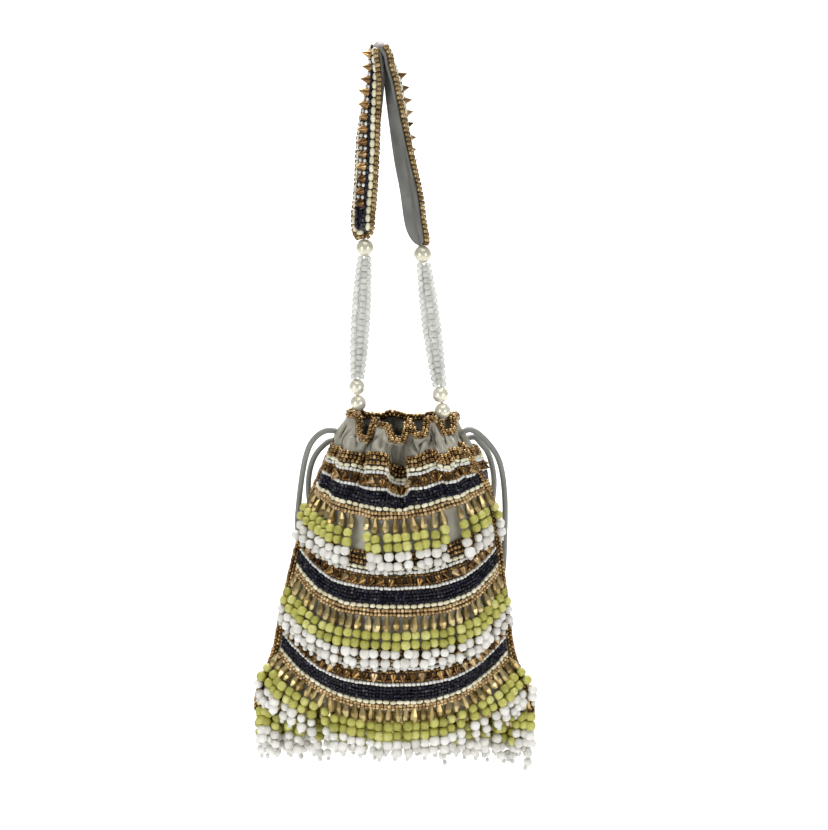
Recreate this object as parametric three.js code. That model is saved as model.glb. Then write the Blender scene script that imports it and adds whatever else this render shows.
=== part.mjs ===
import * as THREE from "three";

// Potli bag, millimetres, +Z up. The origin is the inside of the handle's fold, where it hangs.
// The front faces -Y and +X is to the viewer's right.

// ---------- sizes ----------
const WALL = 1.6; // satin with its lining
const GAP = 0.35; // between neighbouring pieces
const BAND_THICK = 2.2; // paved bead band
const EDGING_RADIUS = 2.0; // bead rope on the seams
const MOUTH_RADIUS = 1.6; // bead rope on the mouth
const PANEL_COLUMNS = 40; // steps across one panel
const FRILL = 14; // height of the ruffle above the drawstring
const MOUTH_DROP = 188; // inside depth along the panel
const BAND_HEIGHT = 33.5; // a bead band, from its bronze rows to its gold row
const TIERS = [57.5, 108.5, 159.5]; // lower edge of each band, down the panel from the mouth
const LAST_TIER = 178; // fringe above the bottom seam, without a band
const HEM = 196; // bottom seam, down the panel from the mouth
const STRAND_LENGTH = 33.8; // one fringe strand
const STRAND_LIFT = 1.7; // middle of a strand from the cloth, where it is sewn on
const PEARL_RADIUS = 5.0;
const PEARL_RADIUS_LOW = 4.75;
const GLASS_RADIUS = 1.85; // glass bead
const GLASS_WAIST = 1.05; // between two glass beads
const GLASS_BEADS = 20; // along one string
const DISC_RADIUS = 1.7; // flat gold discs
const DISC_COUNT = 7;
const CORD_RADIUS = 1.75; // satin drawstring
const STRAP_THICK = 2.0;
const STRAP_BEADS = 2.4; // height of the strap's bead rows
const STRAP_RIDGE = 6.4; // height of its middle row of cones
const STRAP_ROUND = 8; // length of the rounded left strap end
const STRAP_TAPER = 14; // length of the longer right end

// Sections of the pouch. d: distance down the panel from the mouth edge. xl, zl, xr, zr: the two
// side seams. zf, zb: the middle of the front and of the back. depth: half depth. round: 0.5 is an
// ellipse, 1 is two flat curves meeting at the seams. gather: fold height. turn: degrees that the
// section turns, which brings its right seam to the front. sag: how squarely its row sags.
const SECTIONS = [
  { d: 0, xl: -19.4, zl: -219, xr: 46, zr: -218.5, zf: -218.8, zb: -223, depth: 21, round: 0.5, gather: 0, turn: 14, sag: 1.6 },
  { d: 14, xl: -24.8, zl: -229.6, xr: 48.8, zr: -230.5, zf: -233, zb: -232.5, depth: 20, round: 0.5, gather: 3.6, turn: 16, sag: 1.6 },
  { d: 24, xl: -27.8, zl: -237.2, xr: 54.5, zr: -236, zf: -239, zb: -239, depth: 24, round: 0.52, gather: 4.6, turn: 19, sag: 1.6 },
  { d: 40, xl: -33.6, zl: -250.1, xr: 61, zr: -247.5, zf: -255.5, zb: -255, depth: 29, round: 0.58, gather: 3.8, turn: 17, sag: 1.6 },
  { d: 57, xl: -39.6, zl: -266.1, xr: 64.8, zr: -260.8, zf: -274.5, zb: -273, depth: 34, round: 0.66, gather: 2.4, turn: 11, sag: 1.9 },
  { d: 82, xl: -45.7, zl: -288.3, xr: 68.2, zr: -285, zf: -302.5, zb: -300, depth: 38, round: 0.74, gather: 1.4, turn: 4, sag: 3.0 },
  { d: 108, xl: -51.9, zl: -312, xr: 71.6, zr: -311.8, zf: -332, zb: -329, depth: 40, round: 0.8, gather: 0.7, turn: 0, sag: 4.4 },
  { d: 133, xl: -58, zl: -337.5, xr: 75, zr: -339, zf: -360.3, zb: -356.5, depth: 39, round: 0.85, gather: 0, turn: 0, sag: 3.8 },
  { d: 159, xl: -63.4, zl: -365, xr: 79.2, zr: -367.5, zf: -390.1, zb: -386, depth: 35, round: 0.9, gather: 0, turn: 0, sag: 2.7 },
  { d: 178, xl: -73, zl: -389.5, xr: 89.2, zr: -392, zf: -396.5, zb: -395, depth: 18, round: 0.85, gather: 0, turn: 0, sag: 2.0 },
  { d: 196, xl: -74.5, zl: -402.5, xr: 91, zr: -405, zf: -399, zb: -399, depth: 2.6, round: 0.6, gather: 0, turn: 0, sag: 1.6 },
];

// Ridges and valleys of the gathered cloth. u: place around the pouch (0 left seam, 0.25 front, 0.5 right seam).
// width: half width. height: share of the section's gather. drop: how far a valley sinks. reach: how far down the fold runs.
const GATHERS = [
  { u: 0.06, width: 0.045, height: 0.7, drop: 0, reach: 60 },
  { u: 0.135, width: 0.05, height: 1, drop: 0, reach: 95 },
  { u: 0.184, width: 0.03, height: -0.7, drop: 2, reach: 36 },
  { u: 0.228, width: 0.044, height: 1, drop: 0, reach: 60 },
  { u: 0.275, width: 0.032, height: -1.2, drop: 4.5, reach: 44 },
  { u: 0.326, width: 0.042, height: 1, drop: 0, reach: 66 },
  { u: 0.366, width: 0.028, height: -0.6, drop: 1.5, reach: 36 },
  { u: 0.405, width: 0.04, height: 1, drop: 0, reach: 95 },
  { u: 0.46, width: 0.035, height: 0.6, drop: 0, reach: 55 },
  { u: 0.228, width: 0.045, height: 0, drop: -4, reach: 30 },
  { u: 0.358, width: 0.05, height: 0, drop: -5.5, reach: 30 },
  { u: 0.445, width: 0.05, height: 0, drop: -4, reach: 30 },
  { u: 0.56, width: 0.045, height: 0.65, drop: 0, reach: 60 },
  { u: 0.645, width: 0.045, height: 0.8, drop: 0, reach: 90 },
  { u: 0.735, width: 0.05, height: 0.75, drop: 0, reach: 65 },
  { u: 0.825, width: 0.045, height: 0.8, drop: 0, reach: 95 },
  { u: 0.91, width: 0.045, height: 0.65, drop: 0, reach: 60 },
];

// The gathered top draws the seams to the front. u: seam. width: half width. shift: how far round. reach: how far down.
const SEAMS = [
  { u: 0, width: 0.2, shift: 0.015, reach: 45 },
  { u: 0.5, width: 0.2, shift: -0.04, reach: 45 },
];

// Loops of the ruffle. u, width: as above. out: how far the edge stands out. droop: how far it drops.
const RUFFLES = [
  { u: 0.035, width: 0.04, out: 1.5, droop: 0 },
  { u: 0.148, width: 0.047, out: 2.5, droop: 12.5 },
  { u: 0.217, width: 0.03, out: 2, droop: 3.5 },
  { u: 0.263, width: 0.035, out: 4.5, droop: 11.2 },
  { u: 0.328, width: 0.036, out: 4.5, droop: 8.7 },
  { u: 0.465, width: 0.07, out: 2.5, droop: 8.5 },
  { u: 0.62, width: 0.06, out: 3, droop: 2.5 },
  { u: 0.74, width: 0.06, out: 4, droop: 2 },
  { u: 0.87, width: 0.06, out: 3, droop: 3 },
];

// Outline of a fringe strand. l: distance down the strand. r: half thickness.
const STRAND = [
  { l: 0.3, r: 0.9 },
  { l: 8.0, r: 1.5 },
  { l: 11.3, r: 2.7 },
  { l: 19.8, r: 2.3 },
  { l: 28.5, r: 2.7 },
  { l: STRAND_LENGTH, r: 1.0 },
];
const STRAND_BACK = [
  { l: 0.3, r: 0.7 },
  { l: 12.0, r: 1.6 },
  { l: 28.0, r: 2.2 },
  { l: STRAND_LENGTH, r: 0.9 },
];
const FRINGE_COLUMNS = 13;

// Middle row of the strap from the left end over the fold to the right end. yaw: degrees that its
// near edge turns to the right. half: half width across. arch: how far its edges curl inwards.
const STRAP = [
  { x: -9.8, z: -111.4, yaw: 60, half: 6.0, arch: 4.0 },
  { x: -11.2, z: -102.2, yaw: 58, half: 5.8, arch: 4.8 },
  { x: -10.5, z: -89.1, yaw: 57, half: 5.6, arch: 5.4 },
  { x: -9.6, z: -77.3, yaw: 57, half: 5.6, arch: 5.4 },
  { x: -8.7, z: -59.6, yaw: 57, half: 5.6, arch: 5.4 },
  { x: -8.3, z: -50.8, yaw: 54, half: 5.6, arch: 5.4 },
  { x: -7.4, z: -39.1, yaw: 44, half: 5.6, arch: 5.4 },
  { x: -5.8, z: -27.4, yaw: 30, half: 5.6, arch: 5.2 },
  { x: -4.3, z: -18.6, yaw: 22, half: 5.8, arch: 4.6 },
  { x: -3.1, z: -9.3, yaw: 16, half: 6.2, arch: 3.2 },
  { x: -2.7, z: -2.6, yaw: 14, half: 6.6, arch: 2.0 },
  { x: 0, z: 1.0, yaw: 12, half: 6.8, arch: 1.4 },
  { x: 3.7, z: -2.6, yaw: 12, half: 6.6, arch: 2.0 },
  { x: 6.1, z: -9.3, yaw: 14, half: 6.2, arch: 3.2 },
  { x: 9.5, z: -18.6, yaw: 20, half: 5.8, arch: 4.6 },
  { x: 11.7, z: -30.3, yaw: 26, half: 5.6, arch: 5.2 },
  { x: 14.1, z: -47.9, yaw: 34, half: 5.6, arch: 5.0 },
  { x: 16.3, z: -65.5, yaw: 42, half: 5.8, arch: 4.3 },
  { x: 19.0, z: -83.2, yaw: 45, half: 6.2, arch: 3.0 },
  { x: 21.6, z: -101.0, yaw: 43, half: 6.4, arch: 3.0 },
  { x: 24.7, z: -115.8, yaw: 42, half: 6.2, arch: 3.0 },
];

// Handle hardware at each side: pearls and the two ends of the bundle of glass strings.
const SIDES = {
  left: { top: [-8.9, 0, -118.0], mid: [-14.0, 1.5, -201.4], low: [-13.3, 1.5, -211.2], stackEnd: [-13.0, 1.0, -230.0] },
  right: { top: [25.3, 0, -121.9], mid: [36.0, -9.5, -204.2], low: [37.2, -10, -214.0], stackEnd: [38.0, -8.5, -231.0] },
};
// Place of each string in its bundle. angle: degrees round the bundle. swell: bulge at mid length.
const STRINGS = [
  { angle: 10, swell: 1.5 },
  { angle: 100, swell: 1.1 },
  { angle: 190, swell: 1.7 },
  { angle: 280, swell: 1.3 },
];
const BUNDLE_RADIUS = 2.85; // strings from the middle of the bundle, at its ends

// Drawstring loops: from the channel at the seam, down beside the bag, round and back up.
const CORDS = {
  left: [
    { x: -27.3, y: 2.0, z: -228.4 },
    { x: -32.1, y: 0.5, z: -227.8 },
    { x: -37.5, y: 1.0, z: -230.7 },
    { x: -42.1, y: 2.0, z: -236.4 },
    { x: -44.9, y: 3.0, z: -243.9 },
    { x: -46.8, y: 4.5, z: -252.8 },
    { x: -48.5, y: 7.0, z: -263.8 },
    { x: -49.9, y: 10.0, z: -275.6 },
    { x: -50.8, y: 13.0, z: -286.2 },
    { x: -50.4, y: 16.0, z: -296.8 },
    { x: -49.1, y: 19.5, z: -307.6 },
    { x: -46.9, y: 24.0, z: -318.8 },
    { x: -44.0, y: 29.0, z: -328.2 },
    { x: -39.9, y: 33.0, z: -333.0 },
    { x: -35.6, y: 35.0, z: -330.3 },
    { x: -34.3, y: 35.0, z: -322.0 },
    { x: -36.1, y: 34.0, z: -309.1 },
    { x: -39.0, y: 31.5, z: -295.9 },
    { x: -41.8, y: 27.5, z: -283.7 },
    { x: -44.1, y: 23.5, z: -273.4 },
    { x: -44.2, y: 20.5, z: -263.4 },
    { x: -42.9, y: 19.0, z: -254.4 },
    { x: -40.1, y: 18.5, z: -246.9 },
    { x: -35.8, y: 18.5, z: -241.3 },
    { x: -30.0, y: 19.0, z: -237.4 },
  ],
  right: [
    { x: 53.1, y: -9.0, z: -225.5 },
    { x: 57.2, y: -9.5, z: -226.9 },
    { x: 62.0, y: -9.0, z: -231.0 },
    { x: 66.9, y: -7.0, z: -237.1 },
    { x: 70.9, y: -4.0, z: -244.4 },
    { x: 73.2, y: -1.5, z: -252.9 },
    { x: 74.5, y: 1.0, z: -262.6 },
    { x: 75.3, y: 4.0, z: -273.1 },
    { x: 75.5, y: 8.0, z: -284.5 },
    { x: 75.4, y: 12.0, z: -295.9 },
    { x: 75.3, y: 15.5, z: -308.0 },
    { x: 74.6, y: 20.0, z: -320.3 },
    { x: 72.6, y: 25.5, z: -331.1 },
    { x: 68.5, y: 31.0, z: -337.6 },
    { x: 63.9, y: 34.0, z: -335.8 },
    { x: 61.7, y: 34.5, z: -328.2 },
    { x: 62.3, y: 33.5, z: -315.3 },
    { x: 64.0, y: 32.0, z: -302.3 },
    { x: 66.4, y: 29.0, z: -289.0 },
    { x: 68.3, y: 24.0, z: -275.4 },
    { x: 69.0, y: 18.0, z: -262.9 },
    { x: 67.6, y: 13.0, z: -252.0 },
    { x: 64.7, y: 9.0, z: -242.6 },
    { x: 60.6, y: 4.5, z: -236.5 },
    { x: 56.3, y: 0.0, z: -231.7 },
  ],
};

// ---------- curves and surfaces ----------
const { sin, cos, abs, sign, pow, PI, hypot, sqrt, min, max } = Math;
const V = (x, y, z) => new THREE.Vector3(x, y, z);
const rad = (deg) => (deg * PI) / 180;
const bump = (x) => (abs(x) < 1 ? 0.5 + 0.5 * cos(PI * x) : 0);
const smooth = (a, b, x) => {
  const t = min(1, max(0, (x - a) / (b - a)));
  return t * t * (3 - 2 * t);
};
const loop = (x) => smooth(0, 0.55, 1 - abs(x)); // flat in the middle, steep at its sides
const around = (u, v) => u - v - Math.round(u - v);

// Smooth value of a column of a table at a key column's value.
function read(table, key, column, at) {
  const n = table.length;
  const x = min(table[n - 1][key], max(table[0][key], at));
  let i = 0;
  while (i < n - 2 && table[i + 1][key] < x) i++;
  const slope = (k) => {
    const a = table[max(0, k - 1)],
      b = table[min(n - 1, k + 1)];
    return (b[column] - a[column]) / (b[key] - a[key]);
  };
  const p = table[i],
    q = table[i + 1],
    h = q[key] - p[key],
    t = (x - p[key]) / h;
  const t2 = t * t,
    t3 = t2 * t;
  return (
    (2 * t3 - 3 * t2 + 1) * p[column] +
    (t3 - 2 * t2 + t) * h * slope(i) +
    (3 * t2 - 2 * t3) * q[column] +
    (t3 - t2) * h * slope(i + 1)
  );
}
const section = (column, d) => read(SECTIONS, "d", column, d);

// Smooth ring of the pouch, without folds. inset: cloth thickness taken off for the inside.
function ring(u, d, inset) {
  let drawn = u;
  for (const s of SEAMS) drawn += s.shift * bump(around(drawn, s.u) / s.width) * (1 - smooth(s.reach - 25, s.reach + 25, d));
  const w = drawn - Math.floor(drawn);
  const front = w <= 0.5;
  const t = front ? 2 * w : 2 - 2 * w;
  const round = section("round", d);
  const k = 2 * (round - 0.5);
  const X = (1 - k) * -cos(PI * t) + k * (2 * t - 1);
  const xl = section("xl", d),
    xr = section("xr", d),
    zl = section("zl", d),
    zr = section("zr", d);
  const half = (xr - xl) / 2,
    depth = section("depth", d);
  const corner = sin(Math.atan2(2 * depth * k + half * (1 - k) * 2, half));
  const a = half - inset / max(0.3, corner),
    b = depth - inset;
  const x = a * X,
    y = (front ? -b : b) * pow(max(0, 1 - X * X), round);
  const middle = section(front ? "zf" : "zb", d);
  const sag = middle - (zl + zr) / 2;
  const z = zl + ((zr - zl) * (X + 1)) / 2 + sag * (1 - pow(abs(X), section("sag", d)));
  const turn = rad(section("turn", d));
  return V((xl + xr) / 2 + x * cos(turn) + y * sin(turn), -x * sin(turn) + y * cos(turn), z);
}

// Point of the cloth at u around and d down.
function cloth(u, d, inset = 0) {
  const p = ring(u, d, inset);
  const a = ring(u - 1e-3, d, 0),
    b = ring(u + 1e-3, d, 0);
  const l = hypot(b.x - a.x, b.y - a.y);
  const ox = (b.y - a.y) / l,
    oy = -(b.x - a.x) / l;
  const frill = 1 - smooth(0, FRILL, d);
  let out = 0,
    drop = 0;
  for (const g of GATHERS) {
    const fold = bump(around(u, g.u) / g.width) * (1 - smooth(g.reach - 25, g.reach + 25, d));
    out += section("gather", d) * g.height * fold;
    drop += g.drop * fold * smooth(FRILL / 3, FRILL * 1.3, d);
  }
  for (const r of RUFFLES) {
    const s = loop(around(u, r.u) / r.width) * frill;
    out += r.out * s;
    drop += r.droop * s;
  }
  return V(p.x + ox * out, p.y + oy * out, p.z - drop);
}
function normal(u, d) {
  const du = cloth(u + 2e-3, d).sub(cloth(u - 2e-3, d));
  const dd = cloth(u, min(HEM, d + 0.5)).sub(cloth(u, max(0, d - 0.5)));
  return dd.cross(du).normalize();
}
const place = (side, t) => (side === "front" ? t / 2 : 1 - t / 2);

// ---------- solids ----------
// A closed mesh from points and triangles, facing out.
function solid(points, faces) {
  let volume = 0;
  for (const [a, b, c] of faces) volume += points[a].dot(points[b].clone().cross(points[c]));
  const index = volume < 0 ? faces.map(([a, b, c]) => [a, c, b]) : faces;
  const geometry = new THREE.BufferGeometry();
  geometry.setAttribute("position", new THREE.Float32BufferAttribute(points.flatMap((p) => [p.x, p.y, p.z]), 3));
  geometry.setIndex(index.flat());
  geometry.computeVertexNormals();
  return geometry;
}

// Sections of equal length, skinned one to the next. loop: the last joins the first.
function skin(sections, loop = false) {
  const n = sections[0].length,
    m = sections.length,
    faces = [];
  for (let j = 0; j < (loop ? m : m - 1); j++)
    for (let i = 0; i < n; i++) {
      const a = j * n + i,
        b = j * n + ((i + 1) % n),
        c = ((j + 1) % m) * n + ((i + 1) % n),
        e = ((j + 1) % m) * n + i;
      faces.push([a, e, c], [a, c, b]);
    }
  if (!loop)
    for (let i = 1; i < n - 1; i++) {
      faces.push([0, i, i + 1]);
      const z = (m - 1) * n;
      faces.push([z, z + i + 1, z + i]);
    }
  return solid(sections.flat(), faces);
}

// A plate between an inner and an outer sheet of points, each as rows of columns.
function plate(inner, outer) {
  const m = inner.length,
    n = inner[0].length,
    points = [...outer.flat(), ...inner.flat()],
    faces = [];
  const o = (j, i) => j * n + i,
    k = (j, i) => m * n + j * n + i;
  for (let j = 0; j < m - 1; j++)
    for (let i = 0; i < n - 1; i++) {
      faces.push([o(j, i), o(j + 1, i), o(j + 1, i + 1)], [o(j, i), o(j + 1, i + 1), o(j, i + 1)]);
      faces.push([k(j, i), k(j + 1, i + 1), k(j + 1, i)], [k(j, i), k(j, i + 1), k(j + 1, i + 1)]);
    }
  for (let i = 0; i < n - 1; i++) {
    faces.push([o(0, i), o(0, i + 1), k(0, i + 1)], [o(0, i), k(0, i + 1), k(0, i)]);
    faces.push([o(m - 1, i), k(m - 1, i + 1), o(m - 1, i + 1)], [o(m - 1, i), k(m - 1, i), k(m - 1, i + 1)]);
  }
  for (let j = 0; j < m - 1; j++) {
    faces.push([o(j, 0), k(j, 0), k(j + 1, 0)], [o(j, 0), k(j + 1, 0), o(j + 1, 0)]);
    faces.push([o(j, n - 1), k(j + 1, n - 1), k(j, n - 1)], [o(j, n - 1), o(j + 1, n - 1), k(j + 1, n - 1)]);
  }
  return solid(points, faces);
}

// A tube along points, with its radius at each.
function tube(path, radii, sides, loop = false) {
  const m = path.length,
    sections = [];
  let side = null;
  for (let j = 0; j < m; j++) {
    const before = path[loop ? (j + m - 1) % m : max(0, j - 1)],
      after = path[loop ? (j + 1) % m : min(m - 1, j + 1)];
    const along = after.clone().sub(before).normalize();
    if (!side) side = abs(along.z) < 0.9 ? V(0, 0, 1) : V(1, 0, 0);
    side = side.clone().addScaledVector(along, -side.dot(along)).normalize();
    const up = along.clone().cross(side);
    const r = typeof radii === "number" ? radii : radii[j];
    sections.push(
      Array.from({ length: sides }, (_, i) => {
        const a = (2 * PI * i) / sides;
        return path[j].clone().addScaledVector(side, r * cos(a)).addScaledVector(up, r * sin(a));
      }),
    );
  }
  return skin(sections, loop);
}

const root = new THREE.Group();
function add(name, geometry, colour, roughness, metalness = 0) {
  const mesh = new THREE.Mesh(geometry, new THREE.MeshStandardMaterial({ color: colour, roughness, metalness }));
  mesh.name = name;
  root.add(mesh);
}

// ---------- pouch ----------
function pouch() {
  const n = 2 * PANEL_COLUMNS;
  const lines = [0, 4.5, 9, FRILL];
  for (const tier of TIERS) lines.push(tier - BAND_HEIGHT, tier - BAND_HEIGHT / 2, tier);
  const outside = [...lines, 169, LAST_TIER, 187, HEM],
    inside = [...lines, 169, LAST_TIER, MOUTH_DROP];
  const row = (d, inset) => Array.from({ length: n }, (_, i) => cloth(i / n, d, inset));
  const rows = [...inside.map((d) => row(d, WALL)).reverse(), ...outside.map((d) => row(d, 0))];
  const faces = [];
  for (let j = 0; j < rows.length - 1; j++)
    for (let i = 0; i < n; i++) {
      const a = j * n + i,
        b = j * n + ((i + 1) % n),
        c = (j + 1) * n + ((i + 1) % n),
        e = (j + 1) * n + i;
      faces.push([a, e, c], [a, c, b]);
    }
  // Floor of the inside and underside of the hem, closed from the front half to the back half.
  const close = (base, up) => {
    for (let i = 0; i < PANEL_COLUMNS; i++) {
      const f0 = base + i,
        f1 = base + i + 1,
        b0 = base + ((n - i) % n),
        b1 = base + (n - i - 1);
      const t = [];
      if (f0 !== b0) t.push([f0, b0, f1]);
      if (f1 !== b1) t.push([f1, b0, b1]);
      for (const [p, q, r] of t) faces.push(up ? [p, q, r] : [p, r, q]);
    }
  };
  close(0, false);
  close((rows.length - 1) * n, true);
  return solid(rows.flat(), faces);
}
add("bag_body", pouch(), 0xa8a392, 0.55);

// The mouth's rope sits on the cloth edge, in line with the cloth below it.
function rim(u) {
  const edge = cloth(u, 0, WALL / 2);
  const up = edge.clone().sub(cloth(u, 1.5, WALL / 2));
  const along = cloth(u + 4e-3, 0, WALL / 2).sub(cloth(u - 4e-3, 0, WALL / 2)).normalize();
  up.addScaledVector(along, -up.dot(along)).normalize();
  return edge.addScaledVector(up, EDGING_RADIUS + 1.1);
}
add(
  "mouth_edging",
  tube(
    Array.from({ length: 2 * PANEL_COLUMNS }, (_, i) => rim(i / (2 * PANEL_COLUMNS))),
    MOUTH_RADIUS,
    6,
    true,
  ),
  0x6b5740,
  0.35,
  0.6,
);
for (const [name, u] of [
  ["side_edging_left", 0],
  ["side_edging_right", 0.5],
]) {
  const path = [];
  for (let d = 22; d <= HEM - 1; d += 7.4) path.push(cloth(u, d).addScaledVector(normal(u, d), EDGING_RADIUS + 0.8));
  add(name, tube(path, EDGING_RADIUS, 6), 0x6b5740, 0.35, 0.6);
}

// ---------- bead bands ----------
function band(side, tier) {
  const rows = [tier - BAND_HEIGHT, tier - BAND_HEIGHT / 2, tier];
  const sheet = (off) =>
    rows.map((d) =>
      Array.from({ length: PANEL_COLUMNS - 3 }, (_, i) => {
        const u = place(side, (i + 2) / PANEL_COLUMNS);
        return cloth(u, d).addScaledVector(normal(u, d), off);
      }),
    );
  return plate(sheet(GAP), sheet(GAP + BAND_THICK));
}

// ---------- fringes ----------
// Route of a strand that hangs from d at u: along the cloth where it leans out, else straight down.
function strand(u, d, over) {
  const out = normal(u, d);
  const flat = V(out.x, out.y, 0).normalize();
  // Where the cloth below draws back, the strand hangs free of it.
  const back = cloth(u, min(HEM, d + 15)).sub(cloth(u, d)).dot(flat);
  const held = min(1, max(0, 1 + back / 10));
  const lift = (l) => STRAND_LIFT + over * held * smooth(2, 15, l);
  const rest = (l) => cloth(u, min(HEM, d + l)).addScaledVector(normal(u, min(HEM, d + l)), lift(l));
  const path = [rest(0)];
  const step = 0.5;
  for (let l = 0; l < STRAND_LENGTH; l += step) {
    const way = d + l + step > HEM ? V(0, 0, -1) : rest(l + step).sub(rest(l)).normalize();
    const inwards = min(0, way.dot(flat));
    way.addScaledVector(flat, -inwards).lerp(V(0, 0, -1), smooth(0, 0.35, -inwards));
    path.push(path[path.length - 1].clone().addScaledVector(way.normalize(), step));
  }
  return { at: (l) => path[min(path.length - 1, Math.round(l / step))], flat };
}
// Strands under the bottom seam hang straight down.
function hemStrand(u) {
  const p = cloth(u, HEM).setY(0.4);
  return { at: (l) => p.clone().add(V(0, 0, -0.6 - l)), flat: V(0, -1, 0) };
}
function fringe(from, to, strandAt) {
  const outer = STRAND.map(() => []),
    inner = STRAND.map(() => []);
  for (let i = 0; i <= FRINGE_COLUMNS; i++) {
    const s = strandAt(from + ((to - from) * i) / FRINGE_COLUMNS);
    STRAND.forEach(({ l, r }, j) => {
      const p = s.at(l);
      outer[j].push(p.clone().addScaledVector(s.flat, r));
      inner[j].push(p.clone().addScaledVector(s.flat, -read(STRAND_BACK, "l", "r", l)));
    });
  }
  return plate(inner, outer);
}

// Fringes of a panel. d: where it is sewn on. over: how far out its large beads lie over what is
// below. front, back: free share of the row at each end; the drawstrings lie in the wider ones.
const FRINGES = [
  { d: TIERS[0], over: 4.8, front: 0.04, back: 0.13 },
  { d: TIERS[1], over: 4.6, front: 0.04, back: 0.12 },
  { d: TIERS[2], over: 8.4, front: 0.05, back: 0.05 },
  { d: LAST_TIER, over: 2.8, front: 0.03, back: 0.03 },
];
for (const side of ["front", "back"]) {
  TIERS.forEach((tier, i) => add(`bead_band_${i + 1}_${side}`, band(side, tier), 0x26242c, 0.3));
  FRINGES.forEach(({ d, over, [side]: end }, i) => {
    add(`fringe_${i + 1}_${side}`, fringe(end, 1 - end, (t) => strand(place(side, t), d + 0.6, over)), 0xb9b57f, 0.6);
  });
}
add("hem_fringe", fringe(0.01, 0.99, (t) => hemStrand(place("front", t))), 0xb9b57f, 0.6);

// ---------- handle ----------
const strapLine = STRAP.map((row, i) => ({ ...row, s: i }));
strapLine.forEach((row, i) => {
  row.s = i === 0 ? 0 : strapLine[i - 1].s + hypot(row.x - strapLine[i - 1].x, row.z - strapLine[i - 1].z);
});
const STRAP_LENGTH = strapLine[strapLine.length - 1].s;
const strapAt = (column, s) => read(strapLine, "s", column, s);
const strapPoint = (s) => V(strapAt("x", s), 0, strapAt("z", s));
// Point of the strap at s along, w across (-1 far edge, 1 near edge) and h above its middle layer.
function strapFrame(s) {
  const along = strapPoint(min(STRAP_LENGTH, s + 0.3)).sub(strapPoint(max(0, s - 0.3))).normalize();
  const yaw = rad(strapAt("yaw", s));
  const across = V(sin(yaw), -cos(yaw), 0);
  across.addScaledVector(along, -across.dot(along)).normalize();
  const end = min(s, STRAP_LENGTH - s);
  const round = s < STRAP_LENGTH / 2 ? STRAP_ROUND : STRAP_TAPER;
  const share = end < round ? sqrt(max(0.02, 1 - pow(1 - end / round, 2))) : 1;
  return { centre: strapPoint(s), across, out: across.clone().cross(along), half: strapAt("half", s) * share, arch: strapAt("arch", s) * share };
}
const onStrap = (f, w, h) =>
  f.centre.clone().addScaledVector(f.across, f.half * w).addScaledVector(f.out, h - f.arch * pow(abs(w), 1.4));
const strapStops = [0, 1.5, 4];
for (let k = 0; k <= 25; k++) strapStops.push(STRAP_ROUND + ((STRAP_LENGTH - 2 * STRAP_ROUND) * k) / 25);
strapStops.push(STRAP_LENGTH - 4, STRAP_LENGTH - 1.5, STRAP_LENGTH);
// The fold needs closer stops than the limbs.
const foldMiddle = strapLine.find((row) => row.x === 0).s;
for (const k of [-9, -6.4, -4, -2, 0, 2, 4, 6.4, 9]) strapStops.push(foldMiddle + k);
strapStops.sort((a, b) => a - b);
const stops = strapStops.filter((s, i) => i === 0 || s - strapStops[i - 1] > 0.9);
const across = [-1, -0.5, 0, 0.5, 1];
add(
  "handle_strap",
  plate(
    across.map((w) => stops.map((s) => onStrap(strapFrame(s), w, -STRAP_THICK / 2))),
    across.map((w) => stops.map((s) => onStrap(strapFrame(s), w, STRAP_THICK / 2))),
  ),
  0x6a6a64,
  0.5,
);
const beadRows = [-1, -0.45, -0.3, 0, 0.3, 0.45, 1];
// The cones stop short of the fold and of the rounded ends.
const ridgeAt = (s) => smooth(7, 10, abs(s - foldMiddle)) * smooth(14, 18, min(s, STRAP_LENGTH - s));
const beadHeight = (w, s) =>
  STRAP_THICK / 2 + GAP + STRAP_BEADS + (STRAP_RIDGE - STRAP_BEADS) * max(0, 1 - abs(w) / 0.31) * ridgeAt(s);
add(
  "handle_beadwork",
  plate(
    beadRows.map((w) => stops.map((s) => onStrap(strapFrame(s), w, STRAP_THICK / 2 + GAP))),
    beadRows.map((w) => stops.map((s) => onStrap(strapFrame(s), w, beadHeight(w, s)))),
  ),
  0x8c7450,
  0.35,
  0.3,
);

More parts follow.
